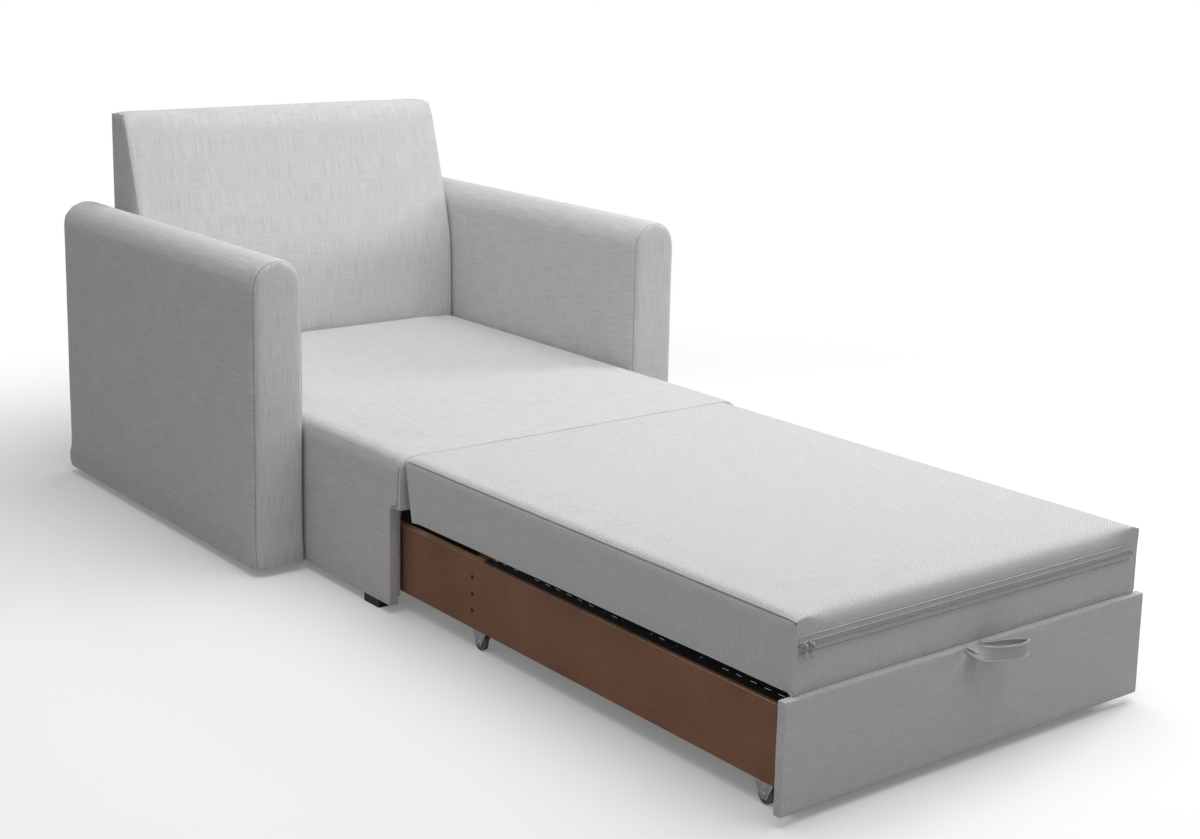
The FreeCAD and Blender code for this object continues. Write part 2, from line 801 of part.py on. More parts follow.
def make_loop():
    """Pull loop: the tape leaves the panel's top edge lying flat, turns on edge while it swings to the
    right, goes round its tip and comes back the same way, one tape's thickness lower.
    """
    # Each row is the share of the way across, the share of the way out, the drop and the turn
    away = [(0, -0.33, 0, 0), (0, -0.05, 0, 0), (0.08, 0.2, 0.5, 0.25), (0.28, 0.3, 1, 0.8),
            (0.56, 0.4, 1.1, 1), (0.84, 0.58, 1.1, 1)]
    tip = [(1.03, 0.82, 1.1, 1)]
    drop_unit = loop_width / 2 + loop_tape / 2
    ply = (loop_tape + loop_ply_gap) / drop_unit
    back = [(0.78, 1, 1.1, 1), (0.47, 0.82, 1.1, 1), (0.18, 0.6, 1.05, 0.8), (0, 0.3, 0.6 + ply / 2, 0.3),
            (-0.03, -0.05, ply, 0), (-0.03, -0.33, ply, 0)]
    path = smooth_path(away + tip + back, loop_steps)
    root_z = panel_top - loop_tape / 2 - loop_sink
    centres = [Vector(loop_root + across * (loop_tip_across - loop_root), panel_front_y - out * loop_tip_out,
                      root_z - drop * drop_unit) for across, out, drop, turn in path]
    wires = []
    for k, centre in enumerate(centres):
        tangent = centres[min(k + 1, len(centres) - 1)] - centres[max(k - 1, 0)]
        tangent.normalize()
        turn = path[k][3] * math.pi / 2
        width = Vector(math.cos(turn), 0, math.sin(turn))
        width = width - tangent * width.dot(tangent)
        width.normalize()
        half_width = width * (loop_width / 2)
        half_tape = tangent.cross(width) * (loop_tape / 2)
        top = centre.z + abs(half_width.z) + abs(half_tape.z)
        centre = centre - Vector(0, 0, max(0, top - panel_top - loop_ceiling))
        wires.append(Part.makePolygon([
            centre + half_width + half_tape,
            centre - half_width + half_tape,
            centre - half_width - half_tape,
            centre + half_width - half_tape,
            centre + half_width + half_tape]))
    add("pull_loop", Part.makeLoft(wires, True, True))


def mattress_outline(inset, draw, lift=0):
    """Side view of the mattress: leaning rear end, soft top front edge, flat bottom.

    draw lowers the top, for the crown, and lift raises the bottom.
    """
    top = seat_height - inset - draw
    front = mattress_front_y + inset
    bottom = mattress_bottom + inset + lift
    rear_top = mattress_rear_y - inset
    rear_low = rear_top - mattress_lean
    return [
        (rear_top, top, mattress_rear_radius),
        (front, top, mattress_top_radius - inset),
        (front, bottom, mattress_low_radius - inset),
        (rear_low, bottom, mattress_low_radius - inset),
    ]


def mattress_block(inset):
    """Crowned solid of the mattress, lofted from side to side with drawn-in ends."""
    half = mattress_half - inset
    flat = half - mattress_edge
    wires = []
    for share in (-1.0, -0.7, -0.35, 0.0, 0.35, 0.7, 1.0):
        wires.append(outline(mattress_outline(inset, mattress_crown * share ** 2), "yz", share * flat))
    body = Part.makeLoft(wires, True, True)
    caps = []
    for side in (-1, 1):
        start = mattress_outline(inset, mattress_crown)
        end = mattress_outline(inset, mattress_crown + mattress_edge_drop, mattress_edge_lift)
        caps.append(Part.makeLoft([outline(start, "yz", side * flat), outline(end, "yz", side * half)],
                                  True, True))
    return fuse([body] + caps)


def make_mattress():
    outside = mattress_block(0)
    add("mattress_cover", outside.cut(mattress_block(cloth)))
    add("mattress_foam", mattress_block(cloth + foam_ease))

    reach = mattress_half - mattress_edge - zip_inset
    tape_y = mattress_front_y - zip_tape
    tape = box(-reach, reach, tape_y, mattress_front_y, zip_height - zip_tape_width / 2,
               zip_height + zip_tape_width / 2)
    coil = cylinder(zip_coil_radius, Vector(-reach, tape_y, zip_height), Vector(reach, tape_y, zip_height))
    coil = coil.common(box(-reach, reach, tape_y - zip_coil_radius - past, tape_y,
                           zip_height - zip_tape_width / 2, zip_height + zip_tape_width / 2))
    ends = [box(x, x + zip_stop_length, tape_y - zip_stop_depth, tape_y,
                zip_height - zip_stop_height / 2, zip_height + zip_stop_height / 2)
            for x in (-reach, reach - zip_stop_length)]
    add("zip_tape", fuse([tape, coil] + ends))

    first = -reach + zip_stop_length + slider_end_gap + slider_length / 2
    for name, x in (("left", first), ("right", first + slider_spacing)):
        slider, pin_y, pin_z = zip_slider(x)
        add("zip_slider_" + name, slider)
        add("zip_pull_" + name, zip_pull(x, pin_y, pin_z))
    travel = -first - slider_spacing - first
    return first, travel, pin_y, pin_z


def zip_slider(x):
    """Slider body with side flanges over the coil and a bridge for the pull, and the pull's pin place."""
    back = mattress_front_y - zip_tape - slider_gap
    front = back - zip_coil_radius - slider_gap - slider_plate
    half = slider_length / 2
    tall = slider_height / 2
    body = box(x - half, x + half, front, back, zip_height - tall, zip_height + tall)
    corners = [e for e in body.Edges if e.BoundBox.YLength > slider_plate and e.BoundBox.XLength < slider_gap
               and e.BoundBox.ZLength < slider_gap]
    body = body.makeFillet(slider_corner_radius, corners)
    room = zip_coil_radius + slider_gap
    channel = box(x - half - past, x + half + past, front + slider_plate, back + past,
                  zip_height - room, zip_height + room)
    pin_z = zip_height - tab_pin_drop
    pin_y = front - tab_pin_reach
    crest = pin_y - bridge_room - bridge_wire
    sunk = front + slider_plate / 4
    low = zip_height - bridge_fall
    bridge = prism([
        (sunk, zip_height + bridge_rise, 0),
        (crest, zip_height + bridge_rise - bridge_wire, bridge_wire),
        (crest, low, bridge_wire),
        (sunk, low, 0),
    ], "yz", x - bridge_width / 2, x + bridge_width / 2)
    window = box(x - bridge_width, x + bridge_width, pin_y - bridge_room, front,
                 low + bridge_wire, zip_height + bridge_rise - bridge_wire)
    return fuse([body.cut(channel), bridge.cut(window)]), pin_y, pin_z


def zip_pull(x, pin_y, pin_z):
    """Flat pull that hangs from the slider: cross pin, two legs, and a round end with a hole."""
    half = tab_width / 2
    side = tab_leg_gap + tab_leg
    pin = cylinder(tab_pin_radius, Vector(x - side, pin_y, pin_z), Vector(x + side, pin_y, pin_z))
    y0 = pin_y - tab_sheet / 2
    low = pin_z - tab_length
    plate = prism([
        (x - side, pin_z + tab_pin_radius, tab_leg / 3),
        (x + side, pin_z + tab_pin_radius, tab_leg / 3),
        (x + side, low + tab_width + tab_shoulder, 0),
        (x + half, low + tab_width, 0),
        (x + half, low, half * 0.95),
        (x - half, low, half * 0.95),
        (x - half, low + tab_width, 0),
        (x - side, low + tab_width + tab_shoulder, 0),
    ], "xz", y0, y0 + tab_sheet)
    slot = box(x - tab_leg_gap, x + tab_leg_gap, y0 - past, y0 + tab_sheet + past,
               pin_z - tab_slot, pin_z + tab_pin_radius + past)
    hole = cylinder(tab_hole_radius, Vector(x, y0 - past, low + half),
                    Vector(x, y0 + tab_sheet + past, low + half))
    return fuse([plate.cut(slot).cut(hole), pin])


def make_joining_strip():
    """Cloth strip sewn to the seat's front end and the mattress's rear edge."""
    top = seat_height - mattress_crown - strip_drop
    rear = seam_y - strip_seam
    front = mattress_rear_y + strip_rear_gap
    half = mattress_half - strip_inset
    strip = prism([
        (rear, top - strip_depth, 0),
        (rear, top, 0),
        (front, top, 0),
        (front, top - cloth, 0),
        (rear - cloth, top - cloth, 0),
        (rear - cloth, top - strip_depth, 0),
    ], "yz", -half, half)
    add("joining_strip", strip)


make_arms()
make_base()
make_backrest()
make_frame()
make_wheels()
make_loop()
first_slider, zip_travel, pin_y, pin_z = make_mattress()
make_joining_strip()

boxes = [shape.optimalBoundingBox(False, False) for shape in pieces.values()]
middle_y = (min(b.YMin for b in boxes) + max(b.YMax for b in boxes)) / 2
shift = Vector(0, -middle_y, 0)

os.makedirs("parts", exist_ok=True)
for name, shape in sorted(pieces.items()):
    placed = shape.copy()
    placed.translate(shift)
    placed.exportStep("parts/" + name + ".step")
    solids = placed.Solids
    print(name, "solids", len(solids), "valid", placed.isValid(), "volume", round(placed.Volume / 1000, 1))

print("pieces", len(pieces))
print("origin lies", round(middle_y, 4), "mm along Y from the arms' front plane")
print("overall length", round(max(b.YMax for b in boxes) - min(b.YMin for b in boxes), 3))
print("frame travel", round(frame_travel, 4))
print("hinge at", round(hinge_y - middle_y, 4), round(hinge_z, 4))
print("zip travel", round(zip_travel, 4))
print("tab pin at", round(pin_y - middle_y, 4), round(pin_z, 4))
print("first slider at", round(first_slider, 4))
for name, x, y in wheel_centres():
    print("wheel", name, round(x, 4), round(y - middle_y, 4), wheel_radius)
print("mattress bottom", mattress_bottom, "front panel top", panel_top)
print("pull loop reaches up to", round(pieces["pull_loop"].optimalBoundingBox(False, False).ZMax, 2))
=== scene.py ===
# %% [markdown]
# A convertible chair bed, pulled out flat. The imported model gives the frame: every piece below takes
# its size and place from a solid of that model, and rides on the body that the solid belongs to.
# Lengths are in metres, X runs across the bed, -Y points to its foot, and Z is up.

# %% Load the frame
import bpy
import json
import math
import numpy as np
from mathutils import Matrix, Vector


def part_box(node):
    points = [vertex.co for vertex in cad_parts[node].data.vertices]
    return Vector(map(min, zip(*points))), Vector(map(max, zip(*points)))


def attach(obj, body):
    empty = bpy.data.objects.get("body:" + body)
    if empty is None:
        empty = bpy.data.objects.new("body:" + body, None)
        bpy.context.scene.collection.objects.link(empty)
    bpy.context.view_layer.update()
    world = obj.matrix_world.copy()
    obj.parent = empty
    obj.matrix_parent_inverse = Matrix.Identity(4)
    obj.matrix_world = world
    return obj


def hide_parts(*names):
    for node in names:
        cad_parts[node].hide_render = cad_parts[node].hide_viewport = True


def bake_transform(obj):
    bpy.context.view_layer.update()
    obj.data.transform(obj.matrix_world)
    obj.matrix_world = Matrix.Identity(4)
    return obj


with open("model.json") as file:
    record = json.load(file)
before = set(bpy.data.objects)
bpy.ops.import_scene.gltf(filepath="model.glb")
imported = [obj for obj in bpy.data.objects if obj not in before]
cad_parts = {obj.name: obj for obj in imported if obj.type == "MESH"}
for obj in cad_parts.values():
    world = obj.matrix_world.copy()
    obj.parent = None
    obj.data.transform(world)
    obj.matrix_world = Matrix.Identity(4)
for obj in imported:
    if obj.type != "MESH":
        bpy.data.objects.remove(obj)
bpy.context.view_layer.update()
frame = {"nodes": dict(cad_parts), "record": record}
MM = 0.001

# %% [markdown]
# The photograph was taken from a standing height, to the left of the bed's foot. Its viewpoint was
# worked out from corners of the bed, so the camera keeps those figures: place, three turns, and the
# focal length in picture widths. A small shift stands for the crop of the picture.

# %% Camera
picture_width = 1200
picture_height = 839
focal_pixels = 1931.8
optical_centre = (601.3, 315.3)
camera_yaw = math.radians(38.0)
camera_pitch = math.radians(11.52)
camera_roll = math.radians(1.28)
arms_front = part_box("arm_front_facing_left")[0].y
camera_place = Vector((-2.028, arms_front - 2.966, 1.169))

ahead = Vector((math.sin(camera_yaw) * math.cos(camera_pitch),
                math.cos(camera_yaw) * math.cos(camera_pitch), -math.sin(camera_pitch)))
level = Vector((math.cos(camera_yaw), -math.sin(camera_yaw), 0))
upward = level.cross(ahead)
right = math.cos(camera_roll) * level + math.sin(camera_roll) * upward
top = -math.sin(camera_roll) * level + math.cos(camera_roll) * upward
turned = Matrix((right, top, -ahead)).transposed()

lens = bpy.data.cameras.new("camera")
lens.sensor_width = 36
lens.lens = focal_pixels / picture_width * lens.sensor_width
lens.shift_x = (picture_width / 2 - optical_centre[0]) / picture_width
lens.shift_y = (optical_centre[1] - picture_height / 2) / picture_width
camera = bpy.data.objects.new("camera", lens)
camera.matrix_world = Matrix.Translation(camera_place) @ turned.to_4x4()
bpy.context.scene.collection.objects.link(camera)
bpy.context.scene.camera = camera
print("lens", round(lens.lens, 1), "mm, shift", round(lens.shift_x, 4), round(lens.shift_y, 4))

# %% [markdown]
# A material is a small graph of nodes. These helpers add one node with its settings and its links, and
# turn the hex colours that a designer writes into the linear values that the shader wants.

# %% Material helpers
wave_turns = 20 / math.tau     # bands that a wave texture draws per unit at a scale of 1


def linear(code):
    """A colour written as sRGB hex, as linear red, green, blue and alpha."""
    parts = [int(code[i:i + 2], 16) / 255 for i in (1, 3, 5)]
    return [p / 12.92 if p <= 0.04045 else ((p + 0.055) / 1.055) ** 2.4 for p in parts] + [1.0]


def new_material(name, roughness, **fixed):
    """An empty material with a Principled shader, and that shader."""
    made = bpy.data.materials.new(name)
    made.use_nodes = True
    shader = made.node_tree.nodes["Principled BSDF"]
    shader.inputs["Roughness"].default_value = roughness
    for socket, value in fixed.items():
        shader.inputs[socket.replace("_", " ")].default_value = value
    return made, shader


def node(material, kind, settings=None, **links):
    """Adds one node: settings are its own properties, links are values or sockets of its inputs."""
    made = material.node_tree.nodes.new("ShaderNode" + kind)
    for key, value in (settings or {}).items():
        setattr(made, key, value)
    for key, value in links.items():
        by_number = key[0] == "i" and key[1:].isdigit()
        socket = made.inputs[int(key[1:]) if by_number else key.replace("_", " ")]
        if isinstance(value, bpy.types.NodeSocket):
            material.node_tree.links.new(value, socket)
        else:
            socket.default_value = value
    return made


def noise(material, place, size, detail, **more):
    """Soft noise with grains of that size in metres."""
    return node(material, "TexNoise", Vector=place, Scale=1 / size, Detail=detail, **more).outputs["Fac"]


def bands(material, place, step, settings, **more):
    """Stripes that step metres apart, across X, Y or as rings."""
    return node(material, "TexWave", settings, Vector=place, Scale=1 / step / wave_turns, **more).outputs["Fac"]


def blend(material, share, first, second):
    """The first value with a share of the second."""
    return node(material, "Mix", {"data_type": "FLOAT"}, i0=share, i2=first, i3=second).outputs[0]


def ramp(material, factor, stops):
    """A colour ramp: stops are (place, hex colour)."""
    made = node(material, "ValToRGB", Fac=factor)
    while len(made.color_ramp.elements) < len(stops):
        made.color_ramp.elements.new(0.5)
    for element, (place, code) in zip(made.color_ramp.elements, stops):
        element.position = place
        element.color = linear(code)
    return made.outputs["Color"]


def finish_material(material, shader, colour, height=None, depth=0.0):
    """Joins colour and, where there is one, a height pattern of that depth to the shader."""
    links = material.node_tree.links
    links.new(colour, shader.inputs["Base Color"])
    if height is not None:
        bump = node(material, "Bump", Strength=1.0, Distance=depth, Height=height)
        links.new(bump.outputs["Normal"], shader.inputs["Normal"])
    return material


# %% [markdown]
# The upholstery is a plain-woven melange: light grey yarn in which paler and darker fibres are spun
# together, with slubs, short thicker stretches that lie along the thread. Cloth scatters light from
# fibre ends at its edges, hence a little sheen and full roughness. The pattern reads the piece's own
# UV map, which is laid out in metres along the thread, so it bends with the cloth. The real yarn is
# 0.6 mm, too fine to show, so the diagonal of the weave is drawn 3 to 4 mm apart.

# %% Upholstery cloth
slub_length = 55 * MM
slub_width = 1.1 * MM
fleck = 1.6 * MM
cross_share = 0.3                  # slubs of the cross thread against those of the long thread
weave_slant = math.radians(38)


def upholstery_cloth(name, pale, middle, dark, slubby, diagonal, depth, weave_step):
    """Melange cloth on the piece's UV map: flecks, slubs along U and V, and a fine diagonal weave.
    slubby is the slubs' share against the flecks, diagonal how dark the weave's furrows are painted, as
    shade that stands for their relief, and weave_step how far apart."""
    made, shader = new_material(name, 0.92, Sheen_Weight=0.18, Sheen_Roughness=0.5,
                                Specular_IOR_Level=0.25)
    uv = node(made, "UVMap", {"uv_map": "cloth"}).outputs["UV"]
    flecks = noise(made, uv, fleck, 3, Roughness=0.65)
    streaks = []
    for u_size, v_size in ((slub_length, slub_width), (1.4 * slub_width, 1.2 * slub_length)):
        laid = node(made, "Mapping", Vector=uv, Scale=(1 / u_size, 1 / v_size, 1))
        streaks.append(noise(made, laid.outputs["Vector"], 1.0, 2))
    tone = blend(made, slubby, flecks, blend(made, cross_share, *streaks))
    colour = ramp(made, tone, [(0.37, dark), (0.5, middle), (0.62, pale)])
    slanted = node(made, "Mapping", Vector=uv, Rotation=(0, 0, weave_slant))
    weave = bands(made, slanted.outputs["Vector"], weave_step, {"wave_type": "BANDS", "bands_direction": "X"},
                  Distortion=0.7, Detail=1, Detail_Scale=1.5)
    # Painted shade: the weave's furrows are darkened in colour as well as bumped.
    shade = node(made, "MapRange", Value=weave, To_Min=1 - diagonal, To_Max=1.05)
    woven = node(made, "VectorMath", {"operation": "SCALE"}, i0=colour, Scale=shade.outputs["Result"])
    return finish_material(made, shader, woven.outputs["Vector"], blend(made, 0.3, weave, flecks), depth)


cloth = upholstery_cloth("melange_upholstery_cloth", "#DCDCDC", "#CECECE", "#B2B2B2",
                         slubby=0.6, diagonal=0.08, depth=0.25 * MM, weave_step=3.0 * MM)
twill = upholstery_cloth("twill_side_of_the_cloth", "#DCDCDC", "#CECECE", "#B8B8B8",
                         slubby=0.36, diagonal=0.11, depth=0.5 * MM, weave_step=4.2 * MM)
print("cloth materials", cloth.name, twill.name)

# %% [markdown]
# Bare fibreboard: fine wood dust pressed with resin, dark brown and faintly speckled on its faces, and
# paler and woollier where the saw has opened the core. Every face that points up takes a pale colour,
# partly that saw-cut core and partly painted light, brighter than the core to stand for light on the
# rails' tops. Hardboard is the same with a finer grain, and pine has long growth rings along the board.

# %% Board materials
def pressed_board(name, face_dark, face_pale, sawn_lit_dark, sawn_lit_pale, grit):
    """Pressed fibre board with speckles of grit's size, paler on faces that point up: the saw-cut core's colour
    and painted light.
    """
    made, shader = new_material(name, 0.78, Specular_IOR_Level=0.3)
    place = node(made, "TexCoord")
    speck = noise(made, place.outputs["Object"], grit, 4, Roughness=0.7)
    tone = blend(made, 0.35, speck, noise(made, place.outputs["Object"], 1 / 9, 3))
    face = ramp(made, tone, [(0.34, face_dark), (0.66, face_pale)])
    # Painted light: faces that point up get a paler colour than the saw-cut core alone, as if lit from above.
    edge = ramp(made, tone, [(0.34, sawn_lit_dark), (0.66, sawn_lit_pale)])
    facing = node(made, "SeparateXYZ", Vector=place.outputs["Normal"])
    sawn_lit_top = node(made, "Math", {"operation": "GREATER_THAN"}, i0=facing.outputs["Z"], i1=0.7)
    colour = node(made, "Mix", {"data_type": "RGBA"}, i0=sawn_lit_top.outputs[0], i6=face, i7=edge)
    return finish_material(made, shader, colour.outputs[2], speck, 0.15 * MM)


def planed_pine(name):
    """Planed pine with growth rings along X, 5 mm apart."""
    made, shader = new_material(name, 0.6, Specular_IOR_Level=0.35)
    place = node(made, "TexCoord")
    rings = bands(made, place.outputs["Object"], 5 * MM, {"wave_type": "RINGS", "rings_direction": "X"},
                  Distortion=6.0, Detail=3, Detail_Scale=0.6)
    fibre = noise(made, place.outputs["Object"], 1 / 300, 3)
    colour = ramp(made, blend(made, 0.3, rings, fibre), [(0.1, "#E2C294"), (0.6, "#D0A771"), (0.95, "#B0804B")])
    return finish_material(made, shader, colour, fibre, 0.1 * MM)


# The third and fourth colours are for up-facing faces: the saw-cut core made brighter as painted light.
fibreboard = pressed_board("bare_fibreboard", "#76533F", "#9A705A", "#D9AF8A", "#F0CDA9", 1.2 * MM)
hardboard = pressed_board("bare_hardboard", "#6A4B38", "#80604A", "#8A6248", "#9C765A", 0.8 * MM)
pine = planed_pine("planed_pine")
print("board materials", fibreboard.name, hardboard.name, pine.name)

# %% [markdown]
# Metals and plastics. Zinc plate on pressed sheet is pale and slightly cloudy; black oxide screws are
# nearly matt; the zip's sliders are zinc castings under grey enamel. The wheels are moulded grey nylon,
# the feet are black polypropylene with a fine spark-eroded grain.

# %% Metal and plastic materials
def hard_material(name, pale, dark, roughness, grain, metallic=0.0, depth=0.03 * MM):
    """A hard finish whose colour wanders between two tones over grain's size."""
    made, shader = new_material(name, roughness, Metallic=metallic)
    place = node(made, "TexCoord")
    cloud = noise(made, place.outputs["Object"], grain, 4)
    return finish_material(made, shader, ramp(made, cloud, [(0.35, dark), (0.65, pale)]), cloud, depth)


zinc_plate = hard_material("zinc_plated_steel", "#C9CCCE", "#A9ADB0", 0.38, 6 * MM, metallic=1.0)
black_oxide = hard_material("black_oxide_steel", "#26262A", "#151517", 0.5, 3 * MM, metallic=0.6)
zip_enamel = hard_material("enamelled_zinc_casting", "#C2C2C4", "#A8A8AA", 0.34, 2 * MM, metallic=0.35)
grey_nylon = hard_material("moulded_grey_nylon", "#86878A", "#77787B", 0.45, 4 * MM)
black_plastic = hard_material("moulded_black_polypropylene", "#1B1B1C", "#111112", 0.5, 0.8 * MM)
staple_wire = hard_material("galvanised_staple_wire", "#F0F0F0", "#D8D8D8", 0.3, 5 * MM, metallic=0.7)
zip_coil = hard_material("nylon_zip_coil", "#B8B8B8", "#A0A0A0", 0.4, 1 * MM)
print("hard materials made")

# %% [markdown]
# Other cloths: black non-woven felt over the deck, black elastic webbing with lengthwise ribs, thread for
# the seams, and a dark grey cloth for cords of painted shade in seam furrows. Each reads the same kind of
# UV map as the upholstery.

# %% Other cloths
def ribbed_cloth(name, pale, dark, rib, depth):
    """Woven band or felt: ribs along U, spaced by rib, with a little fuzz."""
    made, shader = new_material(name, 0.95, Sheen_Weight=0.12, Specular_IOR_Level=0.15)
    uv = node(made, "UVMap", {"uv_map": "cloth"}).outputs["UV"]
    fuzz = noise(made, uv, rib / 0.7, 4, Roughness=0.7)
    ribs = bands(made, uv, rib, {"wave_type": "BANDS", "bands_direction": "Y"}, Distortion=0.6)
    tone = blend(made, 0.5, fuzz, ribs)
    return finish_material(made, shader, ramp(made, tone, [(0.3, dark), (0.7, pale)]), tone, depth)


deck_felt = ribbed_cloth("black_nonwoven_felt", "#1E1E20", "#0E0E0F", 2.0 * MM, 0.3 * MM)
belt_cloth = ribbed_cloth("elastic_webbing", "#2C2C2E", "#161617", 2.4 * MM, 0.4 * MM)
loop_cloth = ribbed_cloth("woven_loop_tape", "#C8C8C8", "#ADADAD", 1.5 * MM, 0.25 * MM)
pale_thread = ribbed_cloth("pale_thread", "#E6E6E6", "#D2D2D2", 0.5 * MM, 0.1 * MM)
dark_thread = ribbed_cloth("dark_thread", "#6C6C6C", "#545454", 0.5 * MM, 0.1 * MM)
# Painted shade: a dark grey for cords laid where seam furrows are in shade.
seam_shadow = ribbed_cloth("painted_seam_shade_cloth", "#6A6A6A", "#565656", 1.0 * MM, 0.05 * MM)
print("other cloths made")

# %% [markdown]
# Modelling helpers. Blender's edit tools work on what is selected, so each helper starts from nothing
# selected. A block starts as a cube with its corners put where the model's box says; edges are picked
# by a rule on their middle point and direction, and then bevelled.

# %% Modelling helpers
def make_active(piece):
    """Leaves edit mode, with this piece alone selected."""
    if bpy.context.object and bpy.context.object.mode != "OBJECT":
        bpy.ops.object.mode_set(mode="OBJECT")
    bpy.ops.object.select_all(action="DESELECT")
    if piece:
        piece.select_set(True)
        bpy.context.view_layer.objects.active = piece


def edit_all(piece, *steps):
    """Runs edit-mode steps, each a tool and its settings, on the whole mesh."""
    make_active(piece)
    bpy.ops.object.mode_set(mode="EDIT")
    bpy.ops.mesh.select_all(action="SELECT")
    for tool, settings in steps:
        tool(**settings)
    bpy.ops.object.mode_set(mode="OBJECT")


def face_outwards(piece):
    edit_all(piece, (bpy.ops.mesh.normals_make_consistent, {"inside": False}))


def new_piece(name, corners, faces):
    """A new piece from points and faces."""
    mesh = bpy.data.meshes.new(name)
    mesh.from_pydata(corners, [], faces)
    made = bpy.data.objects.new(name, mesh)
    bpy.context.scene.collection.objects.link(made)
    return made


def block(name, low, high):
    """A block between two corners, as a mesh whose object stays at the origin."""
    make_active(None)
    low, high = Vector(low), Vector(high)
    bpy.ops.mesh.primitive_cube_add(size=1, location=(low + high) / 2)
    made = bpy.context.object
    made.name = name
    made.data.name = name
    made.scale = high - low
    bpy.ops.object.transform_apply(location=True, rotation=True, scale=True)
    return made


def round_edges(piece, rule, radius, segments):
    """Bevels the edges whose middle point and direction pass the rule."""
    make_active(piece)
    bpy.ops.object.mode_set(mode="EDIT")
    bpy.ops.mesh.select_all(action="DESELECT")
    bpy.ops.mesh.select_mode(type="EDGE")
    bpy.ops.object.mode_set(mode="OBJECT")
    for edge in piece.data.edges:
        a, b = (piece.data.vertices[i].co for i in edge.vertices)
        edge.select = bool(rule((a + b) / 2, (b - a).normalized()))
    bpy.ops.object.mode_set(mode="EDIT")
    bpy.ops.mesh.bevel(offset=radius, segments=segments, profile=0.5, affect="EDGES")
    bpy.ops.object.mode_set(mode="OBJECT")


def apply_modifier(piece, kind, **settings):
    """Adds a modifier with its settings and applies it at once."""
    make_active(piece)
    made = piece.modifiers.new(kind.lower(), kind)
    for key, value in settings.items():
        setattr(made, key, value)
    bpy.ops.object.modifier_apply(modifier=made.name)


def join(name, parts):
    """One piece from several."""
    make_active(parts[0])
    for part in parts[1:]:
        part.select_set(True)
    if len(parts) > 1:
        bpy.ops.object.join()
    parts[0].name = name
    parts[0].data.name = name
    return parts[0]


def points_of(piece):
    """The mesh's points as rows of x, y, z."""
    rows = np.empty(len(piece.data.vertices) * 3, np.float32)
    piece.data.vertices.foreach_get("co", rows)
    return rows.reshape(-1, 3).astype(float)


def move_points(piece, rows):
    piece.data.vertices.foreach_set("co", np.asarray(rows, np.float32).ravel())
    piece.data.update()


def shade(piece, degrees=40):
    make_active(piece)
    bpy.ops.object.shade_smooth_by_angle(angle=math.radians(degrees), keep_sharp_edges=False)


# %% [markdown]
# Cloth is cut so that its thread runs along one edge of each panel. Laying the UV map does the same: each
# face takes the two axes that it lies along, in metres, and grain says which axis the slubs follow.

# %% Lay the cloth
def lay_cloth(piece, grain="Z"):
    """UV map in metres from each face's main direction, with U along the grain axis where it can be."""
    mesh = piece.data
    layer = mesh.uv_layers.get("cloth") or mesh.uv_layers.new(name="cloth")
    corners = np.empty(len(mesh.loops), np.int32)
    mesh.loops.foreach_get("vertex_index", corners)
    normals = np.empty(len(mesh.polygons) * 3, np.float32)
    mesh.polygons.foreach_get("normal", normals)
    totals = np.empty(len(mesh.polygons), np.int32)
    mesh.polygons.foreach_get("loop_total", totals)
    main = np.abs(normals.reshape(-1, 3)).argmax(1)
    main = np.repeat(main, totals)
    rows = points_of(piece)[corners]
    wanted = "XYZ".index(grain)
    along = np.where(main == wanted, (wanted + 1) % 3, wanted)
    across = 3 - main - along
    place = np.arange(len(rows))
    uv = np.stack([rows[place, along], rows[place, across]], 1)
    layer.data.foreach_set("uv", uv.astype(np.float32).ravel())
    mesh.uv_layers.active = layer


def dress(piece, material, body, grain="Y", nodes=()):
    """Gives the finished piece its cloth, its body and the solids that it stands for."""
    piece.data.materials.clear()
    piece.data.materials.append(material)
    lay_cloth(piece, grain)
    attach(piece, body)
    if nodes:
        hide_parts(*nodes)
    print(piece.name, "faces", len(piece.data.polygons), "on", body)


# %% [markdown]
# Padding is foam that pushes its cover out. The same happens here: the block, made a little too small, is
# turned into an even mesh, and the cloth solver blows it up from inside for twenty frames. A share from
# 0 to 1 says how free each point is: none where the cover lies on a board, and all of it in the middle of a
# cushion. How far a point may move is capped, so that the piece keeps its size.

# %% Padding
voxel = 9 * MM                 # mesh size of the big cushions before they are smoothed
pressure = 4.0
last_frame = 20
levels = 10                    # steps of freedom between a held point and a free one
corner_angle = 48              # faces that meet more sharply than this keep a tight edge
corner_crease = 0.75


